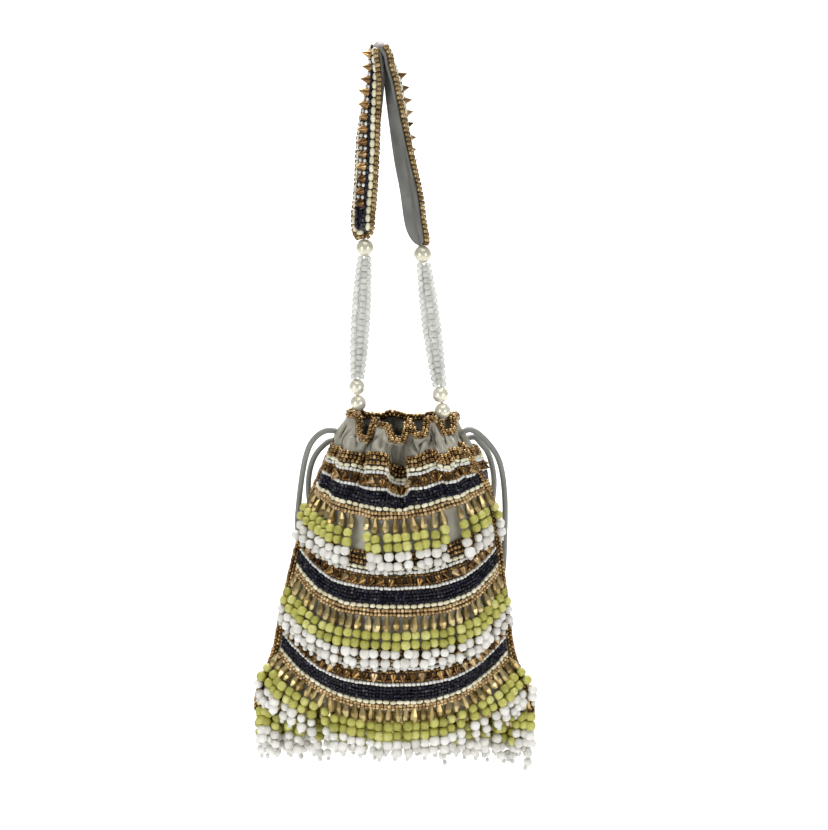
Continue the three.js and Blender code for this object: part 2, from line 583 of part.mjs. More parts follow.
for (const [side, place] of Object.entries(SIDES)) {
  const [top, mid, low, end] = [place.top, place.mid, place.low, place.stackEnd].map((p) => V(...p));
  for (const [level, at, radius] of [
    ["top", top, PEARL_RADIUS],
    ["mid", mid, PEARL_RADIUS_LOW],
    ["low", low, PEARL_RADIUS_LOW],
  ]) {
    const pearl = new THREE.SphereGeometry(radius, 12, 8).translate(at.x, at.y, at.z);
    add(`pearl_${side}_${level}`, pearl, 0xded8c6, 0.15);
  }
  const axis = mid.clone().sub(top),
    length = axis.length();
  axis.normalize();
  STRINGS.forEach(({ angle, swell }, i) => {
    const from = PEARL_RADIUS + 0.6,
      to = length - PEARL_RADIUS_LOW - 0.6,
      path = [],
      radii = [];
    for (let k = 0; k <= 2 * GLASS_BEADS; k++) {
      const s = k / (2 * GLASS_BEADS),
        r = BUNDLE_RADIUS + swell * sin(PI * s);
      path.push(
        top
          .clone()
          .addScaledVector(axis, from + (to - from) * s)
          .add(V(r * cos(rad(angle)), r * sin(rad(angle)), 0)),
      );
      radii.push(k % 2 ? GLASS_RADIUS : GLASS_WAIST);
    }
    add(`glass_strand_${side}_${i + 1}`, tube(path, radii, 5), 0xdfe0da, 0.1);
  });
  const way = end.clone().sub(low),
    drop = way.length();
  way.normalize();
  const discs = [],
    discRadii = [];
  const first = PEARL_RADIUS_LOW + 0.4;
  for (let k = 0; k <= 2 * DISC_COUNT; k++) {
    discs.push(low.clone().addScaledVector(way, first + ((drop - first) * k) / (2 * DISC_COUNT)));
    discRadii.push(k % 2 ? DISC_RADIUS : DISC_RADIUS * 0.6);
  }
  add(`disc_stack_${side}`, tube(discs, discRadii, 6), 0xb28c4a, 0.3, 0.7);
}

// ---------- drawstrings ----------
for (const [side, rows] of Object.entries(CORDS)) {
  if (!rows.length) continue;
  const curve = new THREE.CatmullRomCurve3(rows.map((r) => V(r.x, r.y, r.z)), false, "centripetal");
  add(`drawstring_${side}`, tube(curve.getSpacedPoints(46), CORD_RADIUS, 8), 0x9c9d93, 0.55);
}

export default root;
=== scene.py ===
import math

import bpy
import numpy as np
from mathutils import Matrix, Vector


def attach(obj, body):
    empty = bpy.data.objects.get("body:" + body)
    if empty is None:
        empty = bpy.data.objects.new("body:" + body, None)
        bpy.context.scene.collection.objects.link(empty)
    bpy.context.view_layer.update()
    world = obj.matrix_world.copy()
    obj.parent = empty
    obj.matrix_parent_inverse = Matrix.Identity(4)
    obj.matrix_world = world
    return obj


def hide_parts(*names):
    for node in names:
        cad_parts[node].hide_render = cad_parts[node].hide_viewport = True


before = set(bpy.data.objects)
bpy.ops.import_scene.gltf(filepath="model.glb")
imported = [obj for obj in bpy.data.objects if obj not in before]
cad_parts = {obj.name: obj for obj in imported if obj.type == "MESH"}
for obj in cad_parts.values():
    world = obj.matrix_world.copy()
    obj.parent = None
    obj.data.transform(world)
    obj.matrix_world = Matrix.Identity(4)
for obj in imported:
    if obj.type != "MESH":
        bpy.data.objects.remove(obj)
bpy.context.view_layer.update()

MM = 0.001
rng = np.random.default_rng(41207)
scene = bpy.context.scene

# ---------- camera: the photograph's view, 828 x 830 ----------
ELEVATION = math.radians(10)
DISTANCE = 1.6
FRAME_HEIGHT = 0.498  # metres seen across the long side at the object
AIM = Vector((0.0202096, 0.0, -0.2182995))
camera = bpy.data.objects.new("camera", bpy.data.cameras.new("camera"))
scene.collection.objects.link(camera)
camera.data.sensor_width = 36.0
camera.data.lens = 36.0 * DISTANCE / FRAME_HEIGHT
camera.data.clip_start, camera.data.clip_end = 0.05, 60.0
camera.location = AIM + DISTANCE * Vector((0.0, -math.cos(ELEVATION), math.sin(ELEVATION)))
camera.rotation_euler = (math.pi / 2 - ELEVATION, 0.0, 0.0)
scene.camera = camera

# ---------- sizes in millimetres, the same as the CAD part ----------
WALL = 1.6
GAP = 0.35
EDGING_RADIUS = 2.0
FRILL = 14.0
MOUTH_DROP = 188.0
BAND_HEIGHT = 33.5
TIERS = (57.5, 108.5, 159.5)
LAST_TIER = 178.0
HEM = 196.0
STRAND_LENGTH = 33.8
STRAND_REACH = 37.8  # how far down its beads may slip
STRAND_LIFT = 1.7
PEARL_RADIUS = 5.0
PEARL_RADIUS_LOW = 4.75
GLASS_RADIUS = 1.85
GLASS_BEADS = 20
DISC_RADIUS = 1.7
DISC_COUNT = 7
CORD_RADIUS = 1.75
STRAP_THICK = 2.0
STRAP_ROUND = 8.0
STRAP_TAPER = 14.0
BUNDLE_RADIUS = 2.85


def columns(names, rows):
    a = np.array(rows, float)
    return {n: a[:, i] for i, n in enumerate(names.split())}


SECTIONS = columns(
    "d xl zl xr zr zf zb depth round gather turn sag",
    [
        (0, -19.4, -219.0, 46.0, -218.5, -218.8, -223.0, 21, 0.5, 0, 14, 1.6),
        (14, -24.8, -229.6, 48.8, -230.5, -233.0, -232.5, 20, 0.5, 3.6, 16, 1.6),
        (24, -27.8, -237.2, 54.5, -236.0, -239.0, -239.0, 24, 0.52, 4.6, 19, 1.6),
        (40, -33.6, -250.1, 61.0, -247.5, -255.5, -255.0, 29, 0.58, 3.8, 17, 1.6),
        (57, -39.6, -266.1, 64.8, -260.8, -274.5, -273.0, 34, 0.66, 2.4, 11, 1.9),
        (82, -45.7, -288.3, 68.2, -285.0, -302.5, -300.0, 38, 0.74, 1.4, 4, 3.0),
        (108, -51.9, -312.0, 71.6, -311.8, -332.0, -329.0, 40, 0.8, 0.7, 0, 4.4),
        (133, -58.0, -337.5, 75.0, -339.0, -360.3, -356.5, 39, 0.85, 0, 0, 3.8),
        (159, -63.4, -365.0, 79.2, -367.5, -390.1, -386.0, 35, 0.9, 0, 0, 2.7),
        (178, -73.0, -389.5, 89.2, -392.0, -396.5, -395.0, 18, 0.85, 0, 0, 2.0),
        (196, -74.5, -402.5, 91.0, -405.0, -399.0, -399.0, 2.6, 0.6, 0, 0, 1.6),
    ],
)
# u, half width, height, drop, reach
GATHERS = [
    (0.06, 0.045, 0.7, 0, 60),
    (0.135, 0.05, 1.0, 0, 95),
    (0.184, 0.03, -0.7, 2, 36),
    (0.228, 0.044, 1.0, 0, 60),
    (0.275, 0.032, -1.2, 4.5, 44),
    (0.326, 0.042, 1.0, 0, 66),
    (0.366, 0.028, -0.6, 1.5, 36),
    (0.405, 0.04, 1.0, 0, 95),
    (0.46, 0.035, 0.6, 0, 55),
    (0.228, 0.045, 0, -4, 30),
    (0.358, 0.05, 0, -5.5, 30),
    (0.445, 0.05, 0, -4, 30),
    (0.56, 0.045, 0.65, 0, 60),
    (0.645, 0.045, 0.8, 0, 90),
    (0.735, 0.05, 0.75, 0, 65),
    (0.825, 0.045, 0.8, 0, 95),
    (0.91, 0.045, 0.65, 0, 60),
]
# u, half width, how far round, reach: the gathered top draws the seams to the front
SEAMS = [(0.0, 0.2, 0.015, 45), (0.5, 0.2, -0.04, 45)]
# u, half width, out, droop
RUFFLES = [
    (0.035, 0.04, 1.5, 0),
    (0.148, 0.047, 2.5, 12.5),
    (0.217, 0.03, 2, 3.5),
    (0.263, 0.035, 4.5, 11.2),
    (0.328, 0.036, 4.5, 8.7),
    (0.465, 0.07, 2.5, 8.5),
    (0.62, 0.06, 3, 2.5),
    (0.74, 0.06, 4, 2),
    (0.87, 0.06, 3, 3),
]
STRAP = columns(
    "x z yaw half arch",
    [
        (-9.8, -111.4, 60, 6.0, 4.0),
        (-11.2, -102.2, 58, 5.8, 4.8),
        (-10.5, -89.1, 57, 5.6, 5.4),
        (-9.6, -77.3, 57, 5.6, 5.4),
        (-8.7, -59.6, 57, 5.6, 5.4),
        (-8.3, -50.8, 54, 5.6, 5.4),
        (-7.4, -39.1, 44, 5.6, 5.4),
        (-5.8, -27.4, 30, 5.6, 5.2),
        (-4.3, -18.6, 22, 5.8, 4.6),
        (-3.1, -9.3, 16, 6.2, 3.2),
        (-2.7, -2.6, 14, 6.6, 2.0),
        (0, 1.0, 12, 6.8, 1.4),
        (3.7, -2.6, 12, 6.6, 2.0),
        (6.1, -9.3, 14, 6.2, 3.2),
        (9.5, -18.6, 20, 5.8, 4.6),
        (11.7, -30.3, 26, 5.6, 5.2),
        (14.1, -47.9, 34, 5.6, 5.0),
        (16.3, -65.5, 42, 5.8, 4.3),
        (19.0, -83.2, 45, 6.2, 3.0),
        (21.6, -101.0, 43, 6.4, 3.0),
        (24.7, -115.8, 42, 6.2, 3.0),
    ],
)
STRAP["s"] = np.concatenate([[0.0], np.cumsum(np.hypot(np.diff(STRAP["x"]), np.diff(STRAP["z"])))])
STRAP_LENGTH = STRAP["s"][-1]
FOLD = STRAP["s"][11]
SIDES = {
    "left": {"top": (-8.9, 0, -118.0), "mid": (-14.0, 1.5, -201.4), "low": (-13.3, 1.5, -211.2), "end": (-13.0, 1.0, -230.0)},
    "right": {"top": (25.3, 0, -121.9), "mid": (36.0, -9.5, -204.2), "low": (37.2, -10, -214.0), "end": (38.0, -8.5, -231.0)},
}
STRINGS = ((10, 1.5), (100, 1.1), (190, 1.7), (280, 1.3))  # angle in the bundle, swell
# Route of each drawstring loop, from the channel round and back to it.
CORDS = {
    "left": [
        (-27.3, 2.0, -228.4), (-32.1, 0.5, -227.8), (-37.5, 1.0, -230.7), (-42.1, 2.0, -236.4), (-44.9, 3.0, -243.9),
        (-46.8, 4.5, -252.8), (-48.5, 7.0, -263.8), (-49.9, 10.0, -275.6), (-50.8, 13.0, -286.2), (-50.4, 16.0, -296.8),
        (-49.1, 19.5, -307.6), (-46.9, 24.0, -318.8), (-44.0, 29.0, -328.2), (-39.9, 33.0, -333.0), (-35.6, 35.0, -330.3),
        (-34.3, 35.0, -322.0), (-36.1, 34.0, -309.1), (-39.0, 31.5, -295.9), (-41.8, 27.5, -283.7), (-44.1, 23.5, -273.4),
        (-44.2, 20.5, -263.4), (-42.9, 19.0, -254.4), (-40.1, 18.5, -246.9), (-35.8, 18.5, -241.3), (-30.0, 19.0, -237.4),
    ],
    "right": [
        (53.1, -9.0, -225.5), (57.2, -9.5, -226.9), (62.0, -9.0, -231.0), (66.9, -7.0, -237.1), (70.9, -4.0, -244.4),
        (73.2, -1.5, -252.9), (74.5, 1.0, -262.6), (75.3, 4.0, -273.1), (75.5, 8.0, -284.5), (75.4, 12.0, -295.9),
        (75.3, 15.5, -308.0), (74.6, 20.0, -320.3), (72.6, 25.5, -331.1), (68.5, 31.0, -337.6), (63.9, 34.0, -335.8),
        (61.7, 34.5, -328.2), (62.3, 33.5, -315.3), (64.0, 32.0, -302.3), (66.4, 29.0, -289.0), (68.3, 24.0, -275.4),
        (69.0, 18.0, -262.9), (67.6, 13.0, -252.0), (64.7, 9.0, -242.6), (60.6, 4.5, -236.5), (56.3, 0.0, -231.7),
    ],
}


# ---------- the pouch's surface, as in the CAD part ----------
def bump(x):
    return np.where(np.abs(x) < 1, 0.5 + 0.5 * np.cos(np.pi * x), 0.0)


def smooth(a, b, x):
    t = np.clip((np.asarray(x, float) - a) / (b - a), 0, 1)
    return t * t * (3 - 2 * t)


def loop(x):
    return smooth(0, 0.55, 1 - np.abs(x))


def around(u, v):
    return u - v - np.round(u - v)


def unit(v):
    return v / np.maximum(1e-12, np.linalg.norm(v, axis=-1, keepdims=True))


def read(table, key, column, at):
    x, y = table[key], table[column]
    n = len(x)
    at = np.clip(np.asarray(at, float), x[0], x[-1])
    i = np.clip(np.searchsorted(x, at, side="left") - 1, 0, n - 2)
    lo, hi = np.maximum(0, np.arange(n) - 1), np.minimum(n - 1, np.arange(n) + 1)
    slope = (y[hi] - y[lo]) / (x[hi] - x[lo])
    h = x[i + 1] - x[i]
    t = (at - x[i]) / h
    return (
        (2 * t**3 - 3 * t**2 + 1) * y[i]
        + (t**3 - 2 * t**2 + t) * h * slope[i]
        + (3 * t**2 - 2 * t**3) * y[i + 1]
        + (t**3 - t**2) * h * slope[i + 1]
    )


def ring(u, d, inset=0.0):
    u, d = np.broadcast_arrays(np.asarray(u, float), np.asarray(d, float))
    s = {c: read(SECTIONS, "d", c, d) for c in SECTIONS if c not in ("d", "gather")}
    for at, width, shift, reach in SEAMS:
        u = u + shift * bump(around(u, at) / width) * (1 - smooth(reach - 25, reach + 25, d))
    w = u - np.floor(u)
    front = w <= 0.5
    t = np.where(front, 2 * w, 2 - 2 * w)
    k = 2 * (s["round"] - 0.5)
    X = (1 - k) * -np.cos(np.pi * t) + k * (2 * t - 1)
    half = (s["xr"] - s["xl"]) / 2
    corner = np.sin(np.arctan2(2 * s["depth"] * k + 2 * half * (1 - k), half))
    a = half - inset / np.maximum(0.3, corner)
    b = s["depth"] - inset
    x = a * X
    y = np.where(front, -b, b) * np.maximum(0, 1 - X * X) ** s["round"]
    sag = np.where(front, s["zf"], s["zb"]) - (s["zl"] + s["zr"]) / 2
    z = s["zl"] + (s["zr"] - s["zl"]) * (X + 1) / 2 + sag * (1 - np.abs(X) ** s["sag"])
    turn = np.radians(s["turn"])
    return np.stack(
        [(s["xl"] + s["xr"]) / 2 + x * np.cos(turn) + y * np.sin(turn), -x * np.sin(turn) + y * np.cos(turn), z], -1
    )


def cloth(u, d, inset=0.0):
    u, d = np.broadcast_arrays(np.asarray(u, float), np.asarray(d, float))
    p = ring(u, d, inset)
    along = ring(u + 1e-3, d) - ring(u - 1e-3, d)
    l = np.hypot(along[..., 0], along[..., 1])
    frill = 1 - smooth(0, FRILL, d)
    gather = read(SECTIONS, "d", "gather", d)
    out = np.zeros(u.shape)
    drop = np.zeros(u.shape)
    for gu, width, height, sink, reach in GATHERS:
        fold = bump(around(u, gu) / width) * (1 - smooth(reach - 25, reach + 25, d))
        out = out + gather * height * fold
        drop = drop + sink * fold * smooth(FRILL / 3, FRILL * 1.3, d)
    for ru, width, far, droop in RUFFLES:
        s = loop(around(u, ru) / width) * frill
        out = out + far * s
        drop = drop + droop * s
    return p + np.stack([along[..., 1] / l * out, -along[..., 0] / l * out, -drop], -1)


def normal(u, d):
    du = cloth(u + 2e-3, d) - cloth(u - 2e-3, d)
    dd = cloth(u, np.minimum(HEM, np.asarray(d) + 0.5)) - cloth(u, np.maximum(0, np.asarray(d) - 0.5))
    return unit(np.cross(dd, du))


# Pleats that the drawstring draws into the cloth: count around, phase, share.
PLEATS = ((13, 0.3, 1.0), (22, 1.7, 0.75), (37, 4.1, 0.4))
# Folds where the gathered cloth turns in: place around, half width, depth, sink, how far down.
VALLEYS = ((0.186, 0.016, 1.8, 0.8, 32), (0.272, 0.029, 4.0, 2.5, 46), (0.405, 0.018, 2.2, 0.8, 34))


# Sharp creases at the drawstring: place around, half width, depth, lean down the cloth.
CREASES = [
    (0.07, 0.005, 1.0, 0.5), (0.1, 0.006, 1.5, -0.6), (0.122, 0.005, 1.0, 0.4), (0.19, 0.0065, 2.2, 0.9), (0.206, 0.0065, 2.5, -0.6),
    (0.229, 0.006, 2.0, 0.8), (0.246, 0.005, 1.4, -0.4), (0.296, 0.006, 2.2, -1.0), (0.312, 0.0055, 2.4, 1.2), (0.332, 0.007, 2.6, -1.2),
    (0.262, 0.005, 1.6, 0.7), (0.279, 0.005, 1.8, -0.9), (0.155, 0.005, 1.3, 0.8), (0.35, 0.005, 1.8, 0.9), (0.367, 0.006, 2.4, -1.0), (0.384, 0.006, 2.0, 1.1), (0.43, 0.006, 1.6, -0.7), (0.47, 0.006, 1.4, 0.5),
]
CREASES += [(at, 0.006, 1.4 + 0.9 * math.sin(40 * at), 0.9 * math.cos(90 * at)) for at in np.arange(0.535, 0.985, 0.027)]


def turned_in(u, d, which):
    total = np.zeros(np.broadcast(u, d).shape)
    for row in VALLEYS:
        at, width, reach = row[0], row[1], row[4]
        total = total + row[which] * loop(around(u, at) / width) * smooth(6, 15, d) * (1 - smooth(reach - 14, reach + 14, d))
    return total


def creases(u, d):
    u, d = np.broadcast_arrays(np.asarray(u, float), np.asarray(d, float))
    drawn = np.exp(-(((d - 14.5) / 8.5) ** 2)) * (1 - smooth(19, 24, d)) * smooth(0.5, 5, d)
    pleat = np.zeros(u.shape)
    for count, phase, share in PLEATS:
        lean = 0.012 * np.sin(2 * np.pi * 3 * u + phase) * (d - 14) / 10
        pleat = pleat - share * (1 - 2 * np.abs(np.sin(np.pi * count * (u + lean) + phase)) ** 0.6)
    groove = np.zeros(u.shape)
    for at, width, deep, lean in CREASES:
        groove = groove + deep * np.exp(-((around(u, at + 0.001 * lean * (d - 14)) / (0.8 * width)) ** 2))
    slack = np.zeros(u.shape)
    for top in TIERS[:2]:
        slack = slack + smooth(top + 0.5, top + 5, d) * (1 - smooth(top + 12, top + 17, d))
    soft = np.sin(2 * np.pi * 23 * u + 0.05 * d) * np.sin(2 * np.pi * 9 * u - 0.11 * d + 1.0)
    return drawn * (1.45 * pleat - 1.5 * groove) + 0.35 * slack * soft - turned_in(u, d, 2)


def surface(u, d, inset=0.0):
    u, d = np.broadcast_arrays(np.asarray(u, float), np.asarray(d, float))
    p = cloth(u, d, inset) + normal(u, d) * creases(u, d)[..., None]
    return p - turned_in(u, d, 3)[..., None] * np.array([0.0, 0.0, 1.0])


def place(side, t):
    return t / 2 if side == "front" else 1 - t / 2


# ---------- mesh building ----------
def lathe(profile, sides, flat=False):
    """A closed bead about the x axis from (along, radius) rows; radius 0 closes to a point."""
    points, rings, faces = [], [], []
    for a, r in profile:
        if r <= 1e-9:
            rings.append([len(points)])
            points.append((a, 0.0, 0.0))
        else:
            rings.append(list(range(len(points), len(points) + sides)))
            for k in range(sides):
                th = 2 * math.pi * k / sides
                points.append((a, r * math.cos(th), r * math.sin(th)))
    for A, B in zip(rings, rings[1:]):
        for k in range(sides):
            m = (k + 1) % sides
            if len(A) == 1:
                faces.append((A[0], B[m], B[k]))
            elif len(B) == 1:
                faces.append((A[k], A[m], B[0]))
            else:
                faces.append((A[k], A[m], B[m], B[k]))
    if len(rings[0]) > 1:
        faces.append(tuple(reversed(rings[0])))
    if len(rings[-1]) > 1:
        faces.append(tuple(rings[-1]))
    return pack(points, faces, flat)


def pack(points, faces, flat=False):
    return {
        "v": np.array(points, float),
        "loops": np.concatenate([np.array(f) for f in faces]),
        "totals": np.array([len(f) for f in faces]),
        "flat": flat,
    }


def oval(power, rings, sides, hole=0.0, flat=False):
    """A bead one unit long and wide. power 2 is a ball, more is squarer."""
    rows = []
    for i in range(rings + 1):
        a = math.pi * i / rings
        c, s = math.cos(a), math.sin(a)
        rows.append((-0.5 * math.copysign(abs(c) ** (2 / power), c), 0.5 * abs(s) ** (2 / power)))
    rows = [(x, r if r > 1e-6 else 0.0) for x, r in rows]
    if hole:
        rows[0] = (rows[0][0] + 0.03, hole)
        rows[-1] = (rows[-1][0] - 0.03, hole)
    return lathe(rows, sides, flat)


SEED = lathe([(-0.47, 0.2), (-0.4, 0.4), (0, 0.5), (0.4, 0.4), (0.47, 0.2)], 7)
CUT = lathe([(-0.47, 0.33), (-0.3, 0.5), (0.3, 0.5), (0.47, 0.33)], 6, flat=True)
TILE = lathe([(-0.46, 0.2), (-0.44, 0.41), (-0.36, 0.5), (0.36, 0.5), (0.44, 0.41), (0.46, 0.2)], 10)
RICE = oval(2.3, 6, 8, hole=0.1)
STONE = oval(2.5, 8, 11, hole=0.11)
BALL = oval(2.0, 26, 40, hole=0.05)
CLEAR = oval(2.7, 9, 14, hole=0.14)
CONE = lathe([(0.0, 0.42), (0.04, 0.5), (0.15, 0.5), (0.19, 0.46), (0.58, 0.235), (0.92, 0.055), (1.0, 0.0)], 14)
DROP = lathe([(0.0, 0.13), (0.08, 0.2), (0.33, 0.36), (0.57, 0.5), (0.76, 0.46), (0.96, 0.31), (1.0, 0.2)], 7, flat=True)
DISC = lathe([(-0.5, 0.16), (-0.47, 0.36), (-0.28, 0.49), (0.28, 0.49), (0.47, 0.36), (0.5, 0.16)], 16)


def frames(x_axis, z_axis, roll=None):
    """Right-handed axes as rows, the first along x_axis, the third close to z_axis, turned about the first by roll."""
    x = unit(x_axis)
    z = unit(z_axis - x * (z_axis * x).sum(-1, keepdims=True))
    y = np.cross(z, x)
    if roll is not None:
        c, s = np.cos(roll)[:, None], np.sin(roll)[:, None]
        y, z = y * c + z * s, z * c - y * s
    return np.stack([x, y, z], 1)


def stamp(template, at, axes, size, slot, tone=None):
    """Copies of a template as one lot of mesh data."""
    n, count = len(at), len(template["v"])
    size = np.broadcast_to(np.asarray(size, float), (n, 3))
    tone = rng.random(n) if tone is None else np.broadcast_to(tone, (n,))
    points = at[:, None, :] + np.einsum("nvi,nij->nvj", template["v"][None] * size[:, None, :], axes)
    return {
        "v": points.reshape(-1, 3),
        "loops": (template["loops"][None] + count * np.arange(n)[:, None]).ravel(),
        "totals": np.tile(template["totals"], n),
        "flat": np.full(len(template["totals"]) * n, template["flat"]),
        "slot": np.full(len(template["totals"]) * n, slot),
        "tone": np.repeat(tone, count),
    }


def grid_lot(points, faces, slot, tone=0.5, uv=None):
    data = pack(points, faces)
    return {
        "v": data["v"],
        "loops": data["loops"],
        "totals": data["totals"],
        "flat": np.zeros(len(faces), bool),
        "slot": np.full(len(faces), slot),
        "tone": np.broadcast_to(np.asarray(tone, float), (len(points),)).copy(),
        "uv": uv,
    }


def build(name, lots, materials):
    """One object in metres from lots of mesh data in millimetres."""
    mesh = bpy.data.meshes.new(name)
    offsets = np.cumsum([0] + [len(l["v"]) for l in lots])
    points = np.concatenate([l["v"] for l in lots]) * MM
    loops = np.concatenate([l["loops"] + o for l, o in zip(lots, offsets)])
    totals = np.concatenate([l["totals"] for l in lots])
    mesh.vertices.add(len(points))
    mesh.loops.add(len(loops))
    mesh.polygons.add(len(totals))
    mesh.vertices.foreach_set("co", points.astype(np.float32).ravel())
    mesh.loops.foreach_set("vertex_index", loops.astype(np.int32))
    mesh.polygons.foreach_set("loop_start", np.concatenate([[0], np.cumsum(totals)[:-1]]).astype(np.int32))
    for m in materials:
        mesh.materials.append(m)
    mesh.polygons.foreach_set("material_index", np.concatenate([l["slot"] for l in lots]).astype(np.int32))
    mesh.polygons.foreach_set("use_smooth", ~np.concatenate([l["flat"] for l in lots]))
    mesh.attributes.new("tone", "FLOAT", "POINT").data.foreach_set(
        "value", np.concatenate([l["tone"] for l in lots]).astype(np.float32)
    )
    if all(l.get("uv") is not None for l in lots):
        layer = mesh.uv_layers.new(name="cloth")
        layer.data.foreach_set("uv", np.concatenate([l["uv"] for l in lots]).astype(np.float32).ravel())
    mesh.update(calc_edges=True)
    mesh.validate()
    o = bpy.data.objects.new(name, mesh)
    scene.collection.objects.link(o)
    return o


def finish_piece(o, slot, *nodes):
    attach(o, "root")
    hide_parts(*nodes)
    return o


def march(points, normals, spacing, shift=0.5):
    """Equal steps along a line: centres, directions, normals and step."""
    s = np.concatenate([[0.0], np.cumsum(np.linalg.norm(np.diff(points, axis=0), axis=1))])
    n = max(1, int(round(s[-1] / spacing)))
    at = (np.arange(n) + shift) * s[-1] / n
    go = np.gradient(points, s, axis=0)
    pick = lambda a: np.stack([np.interp(at, s, a[:, i]) for i in range(3)], 1)
    return pick(points), unit(pick(go)), unit(pick(normals)), s[-1] / n


def tube_lot(path, radius, sides, slot, squeeze=None):
    """A closed tube along points, with UV round it and along it."""
    m = len(path)
    go = unit(np.gradient(path, axis=0))
    s = np.concatenate([[0.0], np.cumsum(np.linalg.norm(np.diff(path, axis=0), axis=1))])
    side = np.array([0.0, 0.0, 1.0]) if abs(go[0][2]) < 0.9 else np.array([1.0, 0.0, 0.0])
    points = []
    for j in range(m):
        side = side - go[j] * (side @ go[j])
        side = side / np.linalg.norm(side)
        up = np.cross(go[j], side)
        a = 2 * np.pi * np.arange(sides) / sides
        r = radius if np.isscalar(radius) else radius[j]
        points.append(path[j] + r * (np.cos(a)[:, None] * side + np.sin(a)[:, None] * up))
    points = np.concatenate(points)
    faces, uv = [], []
    for j in range(m - 1):
        for i in range(sides):
            k = (i + 1) % sides
            faces.append((j * sides + i, j * sides + k, (j + 1) * sides + k, (j + 1) * sides + i))
            x0, x1 = i / sides, (i + 1) / sides
            uv += [(x0, s[j]), (x1, s[j]), (x1, s[j + 1]), (x0, s[j + 1])]
    faces.append(tuple(reversed(range(sides))))
    faces.append(tuple(range((m - 1) * sides, m * sides)))
    uv += [(0.5, s[0])] * sides + [(0.5, s[-1])] * sides
    return grid_lot(points, faces, slot, uv=np.array(uv))


# ---------- materials ----------
def nodes_of(name):
    m = bpy.data.materials.new(name)
    m.use_nodes = True
    return m, m.node_tree, m.node_tree.nodes["Principled BSDF"]


def node(tree, kind, **values):
    n = tree.nodes.new(kind)
    for k, v in values.items():
        if k in n.inputs:
            n.inputs[k].default_value = v
        else:
            setattr(n, k, v)
    return n


def noise(tree, scale, detail=2.0, space="Object"):
    where = node(tree, "ShaderNodeTexCoord")
    n = node(tree, "ShaderNodeTexNoise", Scale=scale, Detail=detail)
    tree.links.new(where.outputs[space], n.inputs["Vector"])
    return n.outputs["Fac"]


def ramp(tree, value, stops):
    r = tree.nodes.new("ShaderNodeValToRGB")
    e = r.color_ramp.elements
    while len(e) < len(stops):
        e.new(0.5)
    for item, (at, colour) in zip(e, stops):
        item.position = at
        item.color = (*colour, 1.0)
    tree.links.new(value, r.inputs["Fac"])
    return r.outputs["Color"]


def spread(tree, value, low, high):
    n = node(tree, "ShaderNodeMapRange")
    n.inputs["To Min"].default_value = low
    n.inputs["To Max"].default_value = high
    tree.links.new(value, n.inputs["Value"])
    return n.outputs["Result"]


def sums(tree, a, b, share):
    """a * (1 - share) + b * share"""
    n = node(tree, "ShaderNodeMix", data_type="FLOAT")
    n.inputs[0].default_value = share
    tree.links.new(a, n.inputs[2])
    tree.links.new(b, n.inputs[3])
    return n.outputs[0]


def relief(tree, shader, value, strength, distance):
    b = node(tree, "ShaderNodeBump", Strength=strength, Distance=distance)
    tree.links.new(value, b.inputs["Height"])
    tree.links.new(b.outputs["Normal"], shader.inputs["Normal"])
    return b


def bead_material(name, stops, rough, metal=0.0, grain=(900.0, 0.15, 0.00005), mottle=0.3, **sockets):
    """Beads whose colour runs along stops by each bead's own tone and a fine mottle."""
    m, tree, shader = nodes_of(name)
    tone = node(tree, "ShaderNodeAttribute", attribute_name="tone").outputs["Fac"]
    fine = noise(tree, grain[0], 3.0)
    value = sums(tree, tone, fine, mottle)
    tree.links.new(ramp(tree, value, stops), shader.inputs["Base Color"])
    tree.links.new(spread(tree, fine, *rough), shader.inputs["Roughness"])
    shader.inputs["Metallic"].default_value = metal
    for k, v in sockets.items():
        shader.inputs[k.replace("_", " ")].default_value = v
    relief(tree, shader, fine, grain[1], grain[2])
    return m


def satin_material(name, dark, light, weave=(3.4, 0.25), rough=(0.38, 0.55), sheen=0.35):
    """Satin: fine slanting floats across the UV, soft cloudy tone, a little sheen."""
    m, tree, shader = nodes_of(name)
    where = node(tree, "ShaderNodeTexCoord").outputs["UV"]
    turn = node(tree, "ShaderNodeMapping")
    turn.inputs["Rotation"].default_value = (0.0, 0.0, math.radians(24))
    tree.links.new(where, turn.inputs["Vector"])
    floats = node(tree, "ShaderNodeTexWave", Scale=weave[0], Distortion=0.6, Detail=1.0)
    tree.links.new(turn.outputs["Vector"], floats.inputs["Vector"])
    cross = node(tree, "ShaderNodeTexWave", Scale=weave[0] * 0.6, Distortion=0.4, Detail=1.0)
    cross.bands_direction = "Y"
    tree.links.new(where, cross.inputs["Vector"])
    threads = sums(tree, floats.outputs["Fac"], cross.outputs["Fac"], 0.35)
    cloud = noise(tree, 55.0, 4.0)
    tone = sums(tree, cloud, threads, 0.3)
    tree.links.new(ramp(tree, tone, [(0.25, dark), (0.75, light)]), shader.inputs["Base Color"])
    tree.links.new(spread(tree, cloud, *rough), shader.inputs["Roughness"])
    shader.inputs["Sheen Weight"].default_value = sheen
    shader.inputs["Sheen Roughness"].default_value = 0.4
    relief(tree, shader, threads, weave[1], 0.00012)
    return m


